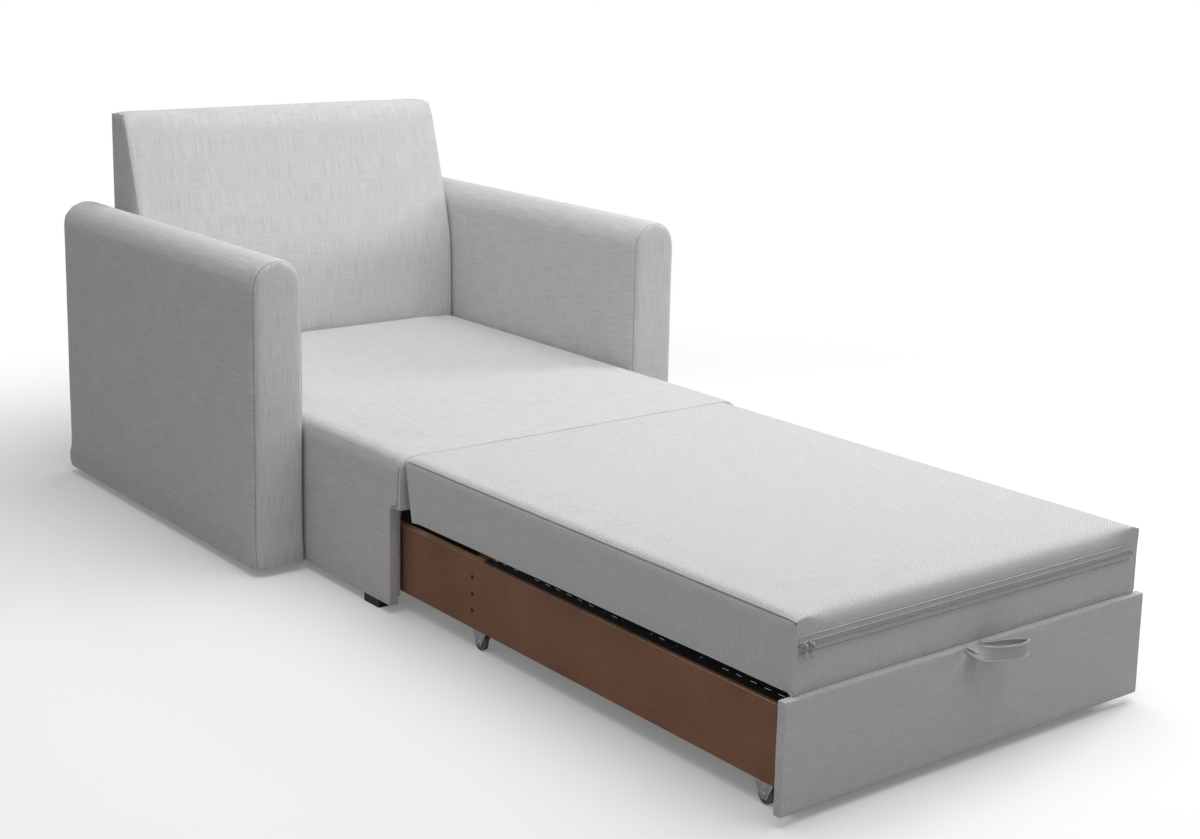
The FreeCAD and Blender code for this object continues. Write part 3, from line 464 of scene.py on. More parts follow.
def pad_out(piece, cap, free, smooth=3, settle=None):
    """Inflates the block by cloth simulation; free(rows) gives each point's share of the cap, and
    settle(rows) lays points that rest on boards back onto them."""
    apply_modifier(piece, "REMESH", mode="VOXEL", voxel_size=voxel, adaptivity=0.0)
    rows = points_of(piece)
    share = np.clip(free(rows), 0, 1)
    pinned = piece.vertex_groups.new(name="held")
    for level in range(levels + 1):
        chosen = np.nonzero(np.round(share * levels) == level)[0]
        if len(chosen):
            pinned.add([int(i) for i in chosen], 1 - level / levels, "REPLACE")
    make_active(piece)
    cloth_solver = piece.modifiers.new("padding", "CLOTH")
    settings = cloth_solver.settings
    settings.use_pressure = True
    settings.uniform_pressure_force = pressure
    settings.effector_weights.gravity = 0.0
    settings.quality = 3
    settings.vertex_group_mass = "held"
    scene = bpy.context.scene
    for step in range(1, last_frame + 1):
        scene.frame_set(step)
    made = np.array([v.co for v in piece.evaluated_get(
        bpy.context.evaluated_depsgraph_get()).data.vertices], float)
    piece.modifiers.remove(cloth_solver)
    scene.frame_set(1)
    moved = made - rows
    length = np.linalg.norm(moved, axis=1, keepdims=True) + 1e-12
    limit = cap * share[:, None]
    moved = moved * np.minimum(1, limit / length)
    move_points(piece, rows + moved)
    apply_modifier(piece, "SMOOTH", factor=0.5, iterations=smooth)
    if settle:
        move_points(piece, settle(points_of(piece)))
        keep_corners(piece)
    apply_modifier(piece, "SUBSURF", levels=1, render_levels=1)
    shade(piece, 60)
    print(piece.name, "padded out by up to", round(float(np.linalg.norm(moved, axis=1).max()) / MM, 1), "mm")


def ease(value, low, high):
    """0 below low, 1 above high, and a soft step between."""
    t = np.clip((value - low) / (high - low), 0, 1)
    return t * t * (3 - 2 * t)


def keep_corners(piece):
    """Creases the edges where faces meet sharply, so that subdivision keeps them tight."""
    make_active(piece)
    bpy.ops.object.mode_set(mode="EDIT")
    bpy.ops.mesh.select_mode(type="EDGE")
    bpy.ops.mesh.select_all(action="DESELECT")
    bpy.ops.mesh.edges_select_sharp(sharpness=math.radians(corner_angle))
    bpy.ops.transform.edge_crease(value=corner_crease)
    bpy.ops.object.mode_set(mode="OBJECT")


def tighten(rows, place, side, wide, shrink):
    """Makes the rounded top edge at the plane y = place tighter: wide is its radius, shrink is what
    stays of it. The top's height is read in narrow lanes across the bed, because it isn't level."""
    count = 60
    shrink = np.broadcast_to(shrink, len(rows))
    inside = side * (rows[:, 1] - place)
    band = (inside > wide) & (inside < 2.2 * wide) & (rows[:, 2] > rows[:, 2].max() - 30 * MM)
    lanes = np.linspace(rows[:, 0].min(), rows[:, 0].max(), count)
    lane = np.clip(np.round((rows[:, 0] - lanes[0]) / (lanes[1] - lanes[0])).astype(int), 0, count - 1)
    heights = np.full(count, -1.0)
    np.maximum.at(heights, lane[band], rows[band, 2])
    known = heights > 0
    top = np.interp(rows[:, 0], lanes[known], heights[known])
    below = top - rows[:, 2]
    edge = (inside < wide) & (below < wide) & (below > -wide)
    rows[edge, 2] = top[edge] - below[edge] * shrink[edge]
    rows[edge, 1] = place + side * np.maximum(inside[edge], 0) * shrink[edge]
    return rows


def snap(rows, axis, place, reach, where=None):
    """Moves the points within reach of a plane onto it, where they are chosen."""
    near = np.abs(rows[:, axis] - place) < reach
    if where is not None:
        near &= where
    rows[near, axis] = place
    return rows


def waver(piece, size, depth, seed=0):
    """Slow unevenness of a hand-stretched cover, with waves of that size."""
    rows = points_of(piece)
    random = np.random.default_rng(seed)
    total = np.zeros(len(rows))
    waves = 9
    for turn in range(waves):
        direction = random.normal(size=3)
        direction /= np.linalg.norm(direction)
        step = size * random.uniform(0.6, 1.7)
        total += np.sin(rows @ direction * math.tau / step + random.uniform(0, math.tau))
    normals = np.array([v.normal for v in piece.data.vertices], float)
    move_points(piece, rows + normals * (total / waves * depth)[:, None])


def press_under(piece, height):
    """Keeps a crown under the height where the folded mattress meets the seat."""
    soft = 2.5 * MM
    rows = points_of(piece)
    over = rows[:, 2] - (height - soft)
    rows[:, 2] = np.where(over > 0, height - soft + soft * np.tanh(over / soft), rows[:, 2])
    move_points(piece, rows)


# %% [markdown]
# Each arm is a narrow box with a half-round top, upholstered over a thin layer of foam. The cover is one
# length of cloth over inside, top and outside; a facing in the shape of an arch closes the front, sewn in
# a few millimetres behind its edge. The block is bevelled round, padded out a little, and copied for the
# other side.

# %% Arms
arm_low, arm_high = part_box("arm_cover_left")
arm_low.y = arms_front
arm_start = 2.0 * MM
facing_seam = arms_front + 9 * MM
seam_depth = 1.3 * MM


def arch_point(angle, low, high):
    """A point (x, z) of the arm's half-round top, by its angle from the outer side."""
    radius = (high.x - low.x) / 2
    return (low.x + high.x) / 2 - radius * math.cos(angle), high.z - radius + radius * math.sin(angle)


inner_low = arm_low + Vector((arm_start, arm_start, 0.5 * MM))
inner_high = arm_high - Vector((arm_start, arm_start, arm_start))
arm = block("arm_left", inner_low, inner_high)
half_round = (inner_high.x - inner_low.x) / 2 * 0.995
round_edges(arm, lambda m, d: m.z > inner_high.z - MM and abs(d.y) > 0.9, half_round, 12)
round_edges(arm, lambda m, d: m.y < inner_low.y + MM and m.z > inner_low.z + MM, 6 * MM, 3)


def arm_settle(rows):
    """The cover is stapled under the arm and behind it, flat on the boards."""
    rows = snap(rows, 2, arm_low.z + 0.2 * MM, 8 * MM)
    return snap(rows, 1, arm_high.y - 0.2 * MM, 8 * MM)


pad_out(arm, 2.6 * MM, lambda r: ease(r[:, 2], inner_low.z, inner_low.z + 60 * MM), settle=arm_settle)
waver(arm, 0.16, 0.7 * MM, seed=3)
rows = points_of(arm)
near = np.exp(-((rows[:, 1] - facing_seam) / (3.2 * MM)) ** 2)
core = Vector(((arm_low.x + arm_high.x) / 2, 0, arm_high.z - (arm_high.x - arm_low.x) / 2))
inward = np.stack([core.x - rows[:, 0], np.zeros(len(rows)), np.minimum(core.z - rows[:, 2], 0)], 1)
inward /= np.linalg.norm(inward, axis=1, keepdims=True) + 1e-9
move_points(arm, rows + inward * (near * seam_depth)[:, None])

make_active(arm)
bpy.ops.object.duplicate()
other_arm = bpy.context.object
other_arm.name = "arm_right"
mirror = points_of(other_arm)
mirror[:, 0] *= -1
move_points(other_arm, mirror)
edit_all(other_arm, (bpy.ops.mesh.flip_normals, {}))
for side, piece in (("left", arm), ("right", other_arm)):
    dress(piece, cloth, "base", "Y",
          ["arm_cover_" + side, "arm_front_facing_" + side, "arm_padding_" + side])

# %% [markdown]
# The rear seat is one cover that flows from the top over both sides and down to the floor, with nothing
# sewn along the top edge. In front it overhangs the place where the pull-out panel parks, and below it is
# open from side to side for the low frame. A slab and two side walls, merged by the remesh, have that
# form; only the top and its edges are free to swell.

# %% Rear seat
seat_low, seat_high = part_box("seat_cover")
board_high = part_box("side_board_left")[1]
seat_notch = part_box("front_panel_board")[1].z + 17 * MM
skirt_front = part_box("guide_board_left")[0].y - 3 * MM
wall = 16.2 * MM               # the side board with its cloth
seat_drop = 4 * MM             # how far the slab starts under the height that it swells to
slab_top = seat_high.z - seat_drop
slab = block("seat_rear", (seat_low.x + 2 * MM, seat_low.y + 3 * MM, seat_notch + MM),
             (seat_high.x - 2 * MM, seat_high.y, slab_top))
round_edges(slab, lambda m, d: m.z > slab_top - MM and abs(d.y) > 0.9, 20 * MM, 5)
round_edges(slab, lambda m, d: m.z > slab_top - MM and m.y < seat_low.y + 9 * MM, 10 * MM, 3)
walls = [block("skirt", (x, skirt_front + 1.5 * MM, seat_low.z + 0.5 * MM),
               (x + wall, seat_high.y, seat_notch + 20 * MM))
         for x in (seat_low.x + MM, seat_high.x - MM - wall)]
seat = join("seat_rear", [slab] + walls)


def seat_freedom(rows):
    upper = ease(rows[:, 2], seat_notch + 8 * MM, seat_notch + 70 * MM)
    from_side = ease(np.minimum(rows[:, 0] - seat_low.x, seat_high.x - rows[:, 0]), -60 * MM, 170 * MM)
    from_front = ease(rows[:, 1] - seat_low.y, -60 * MM, 150 * MM)
    return upper * (0.35 + 0.65 * from_side * from_front)


def seat_settle(rows):
    """Cloth on boards: flat faces with tight corners, up to where the foam begins."""
    boards_top = board_high.z + 6 * MM
    for sign, edge in ((-1, seat_low.x), (1, seat_high.x)):
        reach = sign * rows[:, 0]
        outer = (rows[:, 2] < boards_top) & (reach > abs(edge) - wall * 0.55)
        rows = snap(rows, 0, edge - sign * 0.3 * MM, 14 * MM, outer)
        inner = (reach < abs(edge) - wall * 0.55) & (reach > abs(edge) - wall * 1.6)
        inner &= rows[:, 2] < seat_notch - 9 * MM
        rows = snap(rows, 0, edge - sign * (wall + 1.2 * MM), 7 * MM, inner)
    rows = snap(rows, 2, seat_low.z + 0.2 * MM, 7 * MM)
    in_wall = np.abs(rows[:, 0]) > seat_high.x - 2 * wall
    rows = snap(rows, 1, skirt_front + 0.2 * MM, 8 * MM, in_wall & (rows[:, 2] < seat_notch - 3 * MM))
    rows = snap(rows, 2, seat_notch + 0.2 * MM, 6 * MM, rows[:, 1] < skirt_front - 4 * MM)
    nose = (rows[:, 1] < seat_low.y + 16 * MM) & (rows[:, 2] < seat_notch + 15 * MM)
    rows = snap(rows, 2, seat_notch + 0.2 * MM, 11 * MM, nose)
    rows = snap(rows, 1, seat_low.y + 0.1 * MM, 13 * MM, nose)
    rows = snap(rows, 1, seat_low.y + 0.1 * MM, 7 * MM, rows[:, 2] < seat_high.z - 18 * MM)
    cheek = in_wall & (rows[:, 2] < boards_top) & (rows[:, 2] > seat_notch - 5 * MM)
    rows = snap(rows, 1, seat_low.y + 0.1 * MM, 15 * MM, cheek)
    return tighten(rows, seat_low.y + 0.3 * MM, 1, 16 * MM, 0.25)


pad_out(seat, 8 * MM, seat_freedom, smooth=4, settle=seat_settle)
waver(seat, 0.2, 0.5 * MM, seed=5)
press_under(seat, seat_high.z)
dress(seat, cloth, "base", "Y", ["seat_cover", "seat_foam"])

# %% [markdown]
# The backrest is a wedge: its front stands upright to the height of the arms and then leans back to a
# narrow rounded top. A straight block is remeshed first and then leaned point by point, which keeps its
# faces even; panels at both ends are sewn in along its front and top edges. Behind it the cover goes on
# down to the floor as one flat cloth over the back board.

# %% Backrest
back_low, back_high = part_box("backrest_cover")
back_bend_height = 0.461
back_lean = 0.1014
back_base = seat_high.z - 34 * MM
back = block("backrest", (back_low.x + 1.5 * MM, back_low.y + 4 * MM, back_base),
             (back_high.x - 1.5 * MM, back_high.y - 0.5 * MM, back_high.z - 4 * MM))
round_edges(back, lambda m, d: m.z > back_high.z - 5 * MM and m.y < back_low.y + 5 * MM and abs(d.x) > 0.9,
            30 * MM, 6)
round_edges(back, lambda m, d: m.z > back_high.z - 5 * MM and m.y > back_high.y - 5 * MM and abs(d.x) > 0.9,
            9 * MM, 3)


def back_freedom(rows):
    from_side = ease(np.minimum(rows[:, 0] - back_low.x, back_high.x - rows[:, 0]), -70 * MM, 160 * MM)
    facing = 1 - ease(rows[:, 1], back_low.y + 60 * MM, back_low.y + 110 * MM)
    return (0.25 + 0.75 * facing) * (0.3 + 0.7 * from_side)


def lean_of(height):
    """How far the front has leaned back at a height."""
    over = height - back_bend_height
    soft = 40 * MM
    rise = 0.5 * (over + np.sqrt(over ** 2 + soft ** 2))
    return back_lean * rise / (back_high.z - back_bend_height)


def back_settle(rows):
    """The rear face is cloth on a flat board, up to its corners."""
    rows = snap(rows, 1, back_high.y - 0.3 * MM, 9 * MM)
    rear = rows[:, 1] > back_high.y - 40 * MM
    for sign in (-1, 1):
        rows = snap(rows, 0, sign * (back_high.x - 0.8 * MM), 8 * MM, rear)
    return rows


pad_out(back, 6 * MM, back_freedom, settle=back_settle)
rows = points_of(back)
share = np.clip((back_high.y - rows[:, 1]) / (back_high.y - back_low.y), 0, 1.05)
rows[:, 1] += lean_of(rows[:, 2]) * share
move_points(back, rows)
waver(back, 0.22, 0.6 * MM, seed=8)
dress(back, cloth, "base", "Z", ["backrest_cover", "backrest_foam"])

rear_low = (back_low.x + MM, back_high.y - 1.2 * MM, seat_low.z + 1.5 * MM)
rear_sheet = block("backrest_rear_cloth", rear_low, (back_high.x - MM, back_high.y, back_base + 40 * MM))
round_edges(rear_sheet, lambda m, d: m.y > back_high.y - 0.3 * MM, 0.5 * MM, 2)
dress(rear_sheet, cloth, "base", "Z")

# %% [markdown]
# The mattress lies on the low frame: a foam block in a zipped cover. Its top swells a little and flows
# softly into the front, its sides are drawn in between the corners, its rear end leans, and it rests flat
# on the deck. In use it has shifted a few millimetres to one side at the rear.

# %% Mattress
mat_low, mat_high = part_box("mattress_cover")
deck_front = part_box("deck_board")[0].y
mat_lean = 22 * MM
mat_shift_rear = -10 * MM
mat_shift_front = 5 * MM
mattress = block("mattress", mat_low + Vector((3, 3, 0.6)) * MM, mat_high - Vector((3, 2, 2.5)) * MM)
round_edges(mattress, lambda m, d: m.z > mat_high.z - 10 * MM and m.y < mat_low.y + 9 * MM, 22 * MM, 6)
round_edges(mattress, lambda m, d: m.z > mat_high.z - 10 * MM and abs(d.y) > 0.9, 7 * MM, 3)


def mattress_freedom(rows):
    side = np.minimum(rows[:, 0] - mat_low.x, mat_high.x - rows[:, 0])
    end = np.minimum(rows[:, 1] - mat_low.y, mat_high.y - rows[:, 1])
    crown = ease(side, -50 * MM, 150 * MM) * ease(end, -50 * MM, 150 * MM)
    upper = ease(rows[:, 2], mat_low.z + 2 * MM, mat_low.z + 50 * MM)
    belly = 1 - ((rows[:, 2] - (mat_low.z + mat_high.z) / 2) / (mat_high.z - mat_low.z) * 1.7) ** 2
    return upper * (0.25 + 0.75 * crown * ease(rows[:, 2], mat_high.z - 40 * MM, mat_high.z - 8 * MM)
                    + 0.12 * belly)


def mattress_settle(rows):
    """The cover's box seams pull the corners out: sharp upright corners and a flat underside."""
    rows = snap(rows, 2, mat_low.z + 0.1 * MM, 9 * MM)
    past_deck = (rows[:, 1] < deck_front + 4 * MM) & (rows[:, 2] < mat_low.z + MM)
    rows[past_deck, 2] -= 1.1 * MM
    low = rows[:, 2] < mat_high.z - 12 * MM
    for sign, edge in ((-1, mat_low.x), (1, mat_high.x)):
        corner = (rows[:, 1] < mat_low.y + 14 * MM) | (rows[:, 1] > mat_high.y - 14 * MM)
        rows = snap(rows, 0, edge - sign * 2.0 * MM, 8 * MM, low & corner)
    side = (rows[:, 0] < mat_low.x + 14 * MM) | (rows[:, 0] > mat_high.x - 14 * MM)
    rows = snap(rows, 1, mat_low.y + 2.0 * MM, 8 * MM, low & side)
    rows = snap(rows, 1, mat_high.y - 0.4 * MM, 8 * MM)
    rows = tighten(rows, mat_high.y - 0.4 * MM, -1, 14 * MM, 0.28)
    from_side = np.minimum(rows[:, 0] - mat_low.x, mat_high.x - rows[:, 0])
    return tighten(rows, mat_low.y + 1.0 * MM, 1, 27 * MM, 0.12 + 0.88 * ease(from_side, 6 * MM, 75 * MM))


pad_out(mattress, 8 * MM, mattress_freedom, settle=mattress_settle)
waver(mattress, 0.18, 0.6 * MM, seed=13)
press_under(mattress, mat_high.z)


def lay_mattress(rows):
    """Leans the rear end and shifts the rear to the side, as the mattress lies."""
    along = np.clip((rows[:, 1] - mat_low.y) / (mat_high.y - mat_low.y), 0, 1)
    down = np.clip((mat_high.z - rows[:, 2]) / (mat_high.z - mat_low.z), 0, 1)
    rows[:, 1] -= mat_lean * down * ease(along, 0.9, 1.0)
    rows[:, 0] += mat_shift_front + (mat_shift_rear - mat_shift_front) * along
    return rows


move_points(mattress, lay_mattress(points_of(mattress)))
dress(mattress, twill, "mattress", "Y", ["mattress_cover", "mattress_foam"])

# %% [markdown]
# The front panel is a board wrapped in the same cloth over a thin wadding, so its edges are soft and its
# face is flat, but for the small creases where the ends of the pull loop are stapled behind the top edge.

# %% Front panel
panel_low, panel_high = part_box("front_panel_cover")
loop_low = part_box("pull_loop")[0]
loop_root_x = -14 * MM
panel = block("front_panel", panel_low, panel_high)
apply_modifier(panel, "REMESH", mode="VOXEL", voxel_size=3.4 * MM, adaptivity=0.0)
apply_modifier(panel, "SMOOTH", factor=0.6, iterations=4)
rows = points_of(panel)
for axis in (0, 2):
    for edge in (panel_low[axis], panel_high[axis]):
        rows = snap(rows, axis, edge, 3.2 * MM)
move_points(panel, rows)
apply_modifier(panel, "SUBSURF", levels=1, render_levels=1)
rows = points_of(panel)
front_face = 1 - ease(rows[:, 1], panel_low.y + 2 * MM, panel_low.y + 6 * MM)
away_x = rows[:, 0] - loop_root_x - 6 * MM
away_z = panel_high.z - rows[:, 2]
reach = np.sqrt(away_x ** 2 + (1.3 * away_z) ** 2)
angle = np.arctan2(away_x, away_z + 12 * MM)
creases = np.sin(angle * 9 + 1.1) * np.exp(-(reach / (66 * MM)) ** 2) * ease(reach, 4 * MM, 20 * MM)
dimple = -1.6 * MM * np.exp(-((away_x / (26 * MM)) ** 2 + (away_z / (14 * MM)) ** 2))
rows[:, 1] -= front_face * np.clip(4.6 * MM * creases + dimple, -1.1 * MM, 5 * MM)
move_points(panel, rows)
waver(panel, 0.12, 0.35 * MM, seed=21)
shade(panel, 60)
dress(panel, twill, "pullout_frame", "X", ["front_panel_cover"])

# %% [markdown]
# Black felt covers the deck. It runs up over a low pad and lies flat on the rails as a flange, which is
# held by a row of wide staples, driven along the rail every 28 mm, none quite in line with the next. The
# first staple stays for the felt's rear edge, after the others have been copied from it.

# %% Deck felt and staples
deck_low, deck_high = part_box("deck_cover")
pad_low, pad_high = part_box("deck_pad")
flange_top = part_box("deck_board")[1].z
felt = 1.2 * MM
felt_top = flange_top + felt
flange = block("deck_felt", (deck_low.x, deck_low.y, flange_top), (deck_high.x, deck_high.y, felt_top))
hump = block("hump", (pad_low.x - felt, pad_low.y - felt / 2, flange_top + felt / 2),
             (pad_high.x + felt, pad_high.y + felt, deck_high.z))
round_edges(hump, lambda m, d: m.z > flange_top + 2 * felt, 9 * MM, 4)
deck = join("deck_felt", [flange, hump])
apply_modifier(deck, "BEVEL", width=0.5 * MM, segments=2, limit_method="ANGLE")
shade(deck, 50)
dress(deck, deck_felt, "pullout_frame", "Y", ["deck_cover", "deck_pad"])

staple_pitch = 28 * MM
staple_length = 12 * MM
staple_place = 17 * MM
staples = []
count = int((deck_high.y - deck_low.y - 30 * MM) / staple_pitch)
crown = block("staple", (-0.6 * MM, -staple_length / 2, 0), (0.6 * MM, staple_length / 2, 0.7 * MM))
round_edges(crown, lambda m, d: m.z > 0.6 * MM, 0.3 * MM, 2)
for side in (-1, 1):
    for k in range(count + 1):
        random = np.random.default_rng(100 * k + side + 1)
        make_active(crown)
        bpy.ops.object.duplicate()
        copy = bpy.context.object
        slant = random.uniform(-0.12, 0.12)
        x = side * (deck_high.x - staple_place + random.uniform(-1, 1) * MM)
        y = deck_low.y + 18 * MM + k * staple_pitch + random.uniform(-2, 2) * MM
        place = Vector((x, y, felt_top))
        copy.data.transform(Matrix.Translation(place) @ Matrix.Rotation(slant, 4, "Z"))
        staples.append(copy)
crown.data.transform(Matrix.Translation((0, deck_high.y - 9 * MM, felt_top)))
staple_row = join("deck_staples", [crown] + staples)
staple_row.data.materials.clear()
staple_row.data.materials.append(staple_wire)
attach(staple_row, "pullout_frame")
print("staples", 2 * (count + 1) + 1)

# %% [markdown]
# The pull loop is a woven tape, 25 mm wide. It leaves the panel's top edge flat, turns on edge as it
# swings to one side, goes round, and comes back to the same place one layer lower. Its middle line is a
# smooth curve through a few chosen places, and the tape's width turns with it. A line of stitching runs
# along both of its edges.

# %% Pull loop
tape_thick = 1.4 * MM
tape_wide = 25 * MM
loop_out = panel_low.y - loop_low.y
loop_across = 76 * MM
loop_drop = tape_wide / 2 + tape_thick / 2
ply = (tape_thick + 0.4 * MM) / loop_drop
loop_rows = [
    (0, -0.33, 0, 0), (0, -0.05, 0, 0), (0.08, 0.2, 0.12, 0.25), (0.28, 0.3, 0.28, 0.8), (0.56, 0.4, 0.3, 1),
    (0.84, 0.58, 0.34, 1), (1.03, 0.82, 0.42, 1), (0.78, 0.96, 0.5, 1), (0.47, 0.82, 0.5, 1),
    (0.18, 0.6, 0.5, 0.8), (0, 0.3, 0.4, 0.3), (-0.03, -0.05, ply, 0), (-0.03, -0.33, ply, 0),
]                              # each row: share across, share out, share down, and turn on edge


def smooth_rows(rows, steps):
    """Rows along a smooth curve that passes through every given row: a Catmull-Rom spline."""
    path = []
    last = len(rows) - 1
    for k in range(last):
        four = [np.array(rows[i], float) for i in (max(k - 1, 0), k, k + 1, min(k + 2, last))]
        for t in np.linspace(0, 1, steps, endpoint=False):
            path.append(0.5 * (2 * four[1] + (four[2] - four[0]) * t
                               + (2 * four[0] - 5 * four[1] + 4 * four[2] - four[3]) * t ** 2
                               + (3 * four[1] - four[0] - 3 * four[2] + four[3]) * t ** 3))
    path.append(np.array(rows[last], float))
    return path


def tape_frames(path):
    """Middle point, width direction and face direction of the tape at each row."""
    middles = [Vector((loop_root_x + row[0] * loop_across, panel_low.y - row[1] * loop_out,
                       panel_high.z - tape_thick / 2 - 0.2 * MM - row[2] * loop_drop)) for row in path]
    frames = []
    for k, middle in enumerate(middles):
        tangent = (middles[min(k + 1, len(middles) - 1)] - middles[max(k - 1, 0)]).normalized()
        turn = path[k][3] * math.pi / 2
        width = Vector((math.cos(turn), 0, math.sin(turn)))
        width = (width - tangent * width.dot(tangent)).normalized()
        frames.append((middle, width, tangent.cross(width)))
    return frames


def strip_mesh(name, rows):
    """A sheet of quads from rows of points, all rows of one length."""
    points = [tuple(p) for row in rows for p in row]
    wide = len(rows[0])
    faces = [(r * wide + c, r * wide + c + 1, (r + 1) * wide + c + 1, (r + 1) * wide + c)
             for r in range(len(rows) - 1) for c in range(wide - 1)]
    return new_piece(name, points, faces)


loop_frames = tape_frames(smooth_rows(loop_rows, 8))
edge_shares = (-0.5, -0.44, -0.3, 0, 0.3, 0.44, 0.5)
edge_lift = (0.35, 0.62, 0.45, 0.42, 0.45, 0.62, 0.35)
profile = list(zip(edge_shares, edge_lift))
closed = []
for m, w, f in loop_frames:
    face = [m + w * share * tape_wide + f * lift * tape_thick for share, lift in profile]
    underside = [m + w * share * tape_wide - f * lift * tape_thick for share, lift in reversed(profile)]
    closed.append(face + underside + face[:1])
loop_piece = strip_mesh("pull_loop_tape", closed)
edit_all(loop_piece, (bpy.ops.mesh.remove_doubles, {"threshold": 0.01 * MM}),
         (bpy.ops.mesh.select_all, {"action": "DESELECT"}), (bpy.ops.mesh.select_non_manifold, {}),
         (bpy.ops.mesh.edge_face_add, {}))
face_outwards(loop_piece)
apply_modifier(loop_piece, "SUBSURF", levels=1, render_levels=1)
shade(loop_piece, 60)
dress(loop_piece, loop_cloth, "pullout_frame", "X", ["pull_loop"])

# %% [markdown]
# Seams and stitching. A seam shows as a low welt where two cloths are turned in, with thread beside it;
# some seams also get a thin dark cord of painted shade along their furrow.
# A stitch is one small rod; a line of them is one cord with every second span left out, in one mesh, at the
# pitch of a sewing machine that is set for upholstery. Lines are first drawn on the model's edges and then
# pulled onto the padded surface.

# %% Seams and stitching
stitch_length = 3.0 * MM
stitch_pitch = 4.6 * MM
thread = 0.45 * MM


def on_surface(piece, points, lift=0.0):
    """The nearest points of the piece's surface, lifted off it."""
    found = []
    for point in points:
        hit, place, normal, _ = piece.closest_point_on_mesh(Vector(point))
        found.append(place + normal * lift if hit else Vector(point))
    return found


def even_points(points, pitch):
    """Points spaced evenly along a path."""
    steps = [0.0]
    for a, b in zip(points, points[1:]):
        steps.append(steps[-1] + (Vector(b) - Vector(a)).length)
    table = np.array([list(p) for p in points])
    count = max(int(steps[-1] / pitch), 1)
    at = np.linspace(0, steps[-1], count + 1)
    return [Vector([np.interp(t, steps, table[:, axis]) for axis in range(3)]) for t in at]


def tube(name, points, radius, sides=6, gaps=None):
    """A round cord along points, or separate rods where gaps is set."""
    points = [Vector(p) for p in points]
    rings = []
    for k, point in enumerate(points):
        tangent = (points[min(k + 1, len(points) - 1)] - points[max(k - 1, 0)]).normalized()
        guide = Vector((0, 0, 1)) if abs(tangent.z) < 0.8 else Vector((0, 1, 0))
        first = tangent.cross(guide).normalized()
        second = tangent.cross(first)
        rings.append([point + first * radius * math.cos(math.tau * j / sides)
                      + second * radius * math.sin(math.tau * j / sides) for j in range(sides)])
    corners = [tuple(p) for ring in rings for p in ring]
    faces = []
    for r in range(len(rings) - 1):
        if gaps and r % gaps == gaps - 1:
            continue
        faces += [(r * sides + j, r * sides + (j + 1) % sides, (r + 1) * sides + (j + 1) % sides,
                   (r + 1) * sides + j) for j in range(sides)]
    ends = [0, len(rings) - 1] if not gaps else range(len(rings))
    for r in ends:
        ring = [r * sides + j for j in range(sides)]
        faces.append(ring if (r == 0 or (gaps and r % gaps == 0)) else ring[::-1])
    made = new_piece(name, corners, faces)
    face_outwards(made)
    shade(made, 60)
    return made


def stitches(name, piece, lines, material, body, lift=0.25 * MM):
    """Rows of stitches on a piece's surface along each line, as one mesh."""
    rows = []
    for line in lines:
        ends = []
        spots = even_points(on_surface(piece, even_points(line, 8 * MM)), stitch_pitch)
        for a, b in zip(spots, spots[1:]):
            ends += [a, a + (b - a).normalized() * stitch_length]
        rows.append(tube(name, on_surface(piece, ends, lift), thread, gaps=2))
    dress(join(name, rows), material, body)


def welt(name, piece, lines, radius, body, sink=0.4):
    """A cloth-covered ridge along a seam, partly sunk into the surface."""
    paths = [on_surface(piece, even_points(line, 8 * MM), -sink * radius) for line in lines]
    dress(join(name, [tube(name, even_points(path, 6 * MM), radius, 8) for path in paths]), cloth, body)


def shade_cord(name, piece, lines, radius, body, lift=0.0):
    """Painted shade along a closed seam: a thin continuous dark cord where the seam's furrow lies in shade."""
    paths = [on_surface(piece, even_points(line, 6 * MM), lift) for line in lines]
    made = join(name, [tube(name, even_points(path, 5 * MM), radius, 5) for path in paths])
    dress(made, seam_shadow, body)


seam_y = facing_seam - 3.6 * MM
arch = [(arm_low.x, arm_low.z + 4 * MM), (arm_low.x, arm_high.z - (arm_high.x - arm_low.x) / 2)]
arch += [arch_point(math.pi * k / 24, arm_low, arm_high) for k in range(1, 24)]
arch += [(arm_high.x, z) for x, z in reversed(arch[:2])]
for side, piece, sign in (("left", arm, 1), ("right", other_arm, -1)):
    outline = [(sign * x, seam_y, z) for x, z in arch]
    stitches("arm_facing_stitches_" + side, piece, [outline], dark_thread, "base")

for sign, side in ((-1, "left"), (1, "right")):
    edge_x = sign * (back_high.x - 1 * MM)
    heights = np.linspace(seat_high.z + 2 * MM, back_high.z - 4 * MM, 26)
    line = [(edge_x, back_low.y + 1 * MM + float(lean_of(z)), z) for z in heights]
    line += [(edge_x, back_low.y + back_lean + 12 * MM + (back_high.y - back_low.y - back_lean) * t,
              back_high.z - 1 * MM) for t in (0.25, 0.5, 0.75, 0.95)]
    welt("backrest_welt_" + side, back, [line], 1.6 * MM, "base")

piping = []
furrows = []
for sign in (-1, 1):
    x = sign * (seat_high.x + 0.5 * MM)
    for lane in (0, 1, 2):
        back_by = (1.5 + 1.3 * lane) * MM
        y = seat_low.y + back_by
        line = [(x, y, seat_high.z - 9 * MM), (x, y + 5 * MM, seat_notch + 20 * MM)]
        line += [(x, y + (5 + 9 * (1 - math.cos(t))) * MM, seat_notch + back_by + 12 * MM * (1 - math.sin(t)))
                 for t in np.linspace(0.3, math.pi / 2, 6)]
        line.append((x, skirt_front - 1 * MM, seat_notch + back_by))
        (furrows if lane == 1 else piping).append(line)
welt("seat_front_piping", seat, piping, 0.9 * MM, "base", sink=0.2)
# The middle lane gets a dark cord of painted shade, for the furrow between the two pipings.
shade_cord("seat_front_painted_shade", seat, furrows, 0.5 * MM, "base", lift=0.35 * MM)

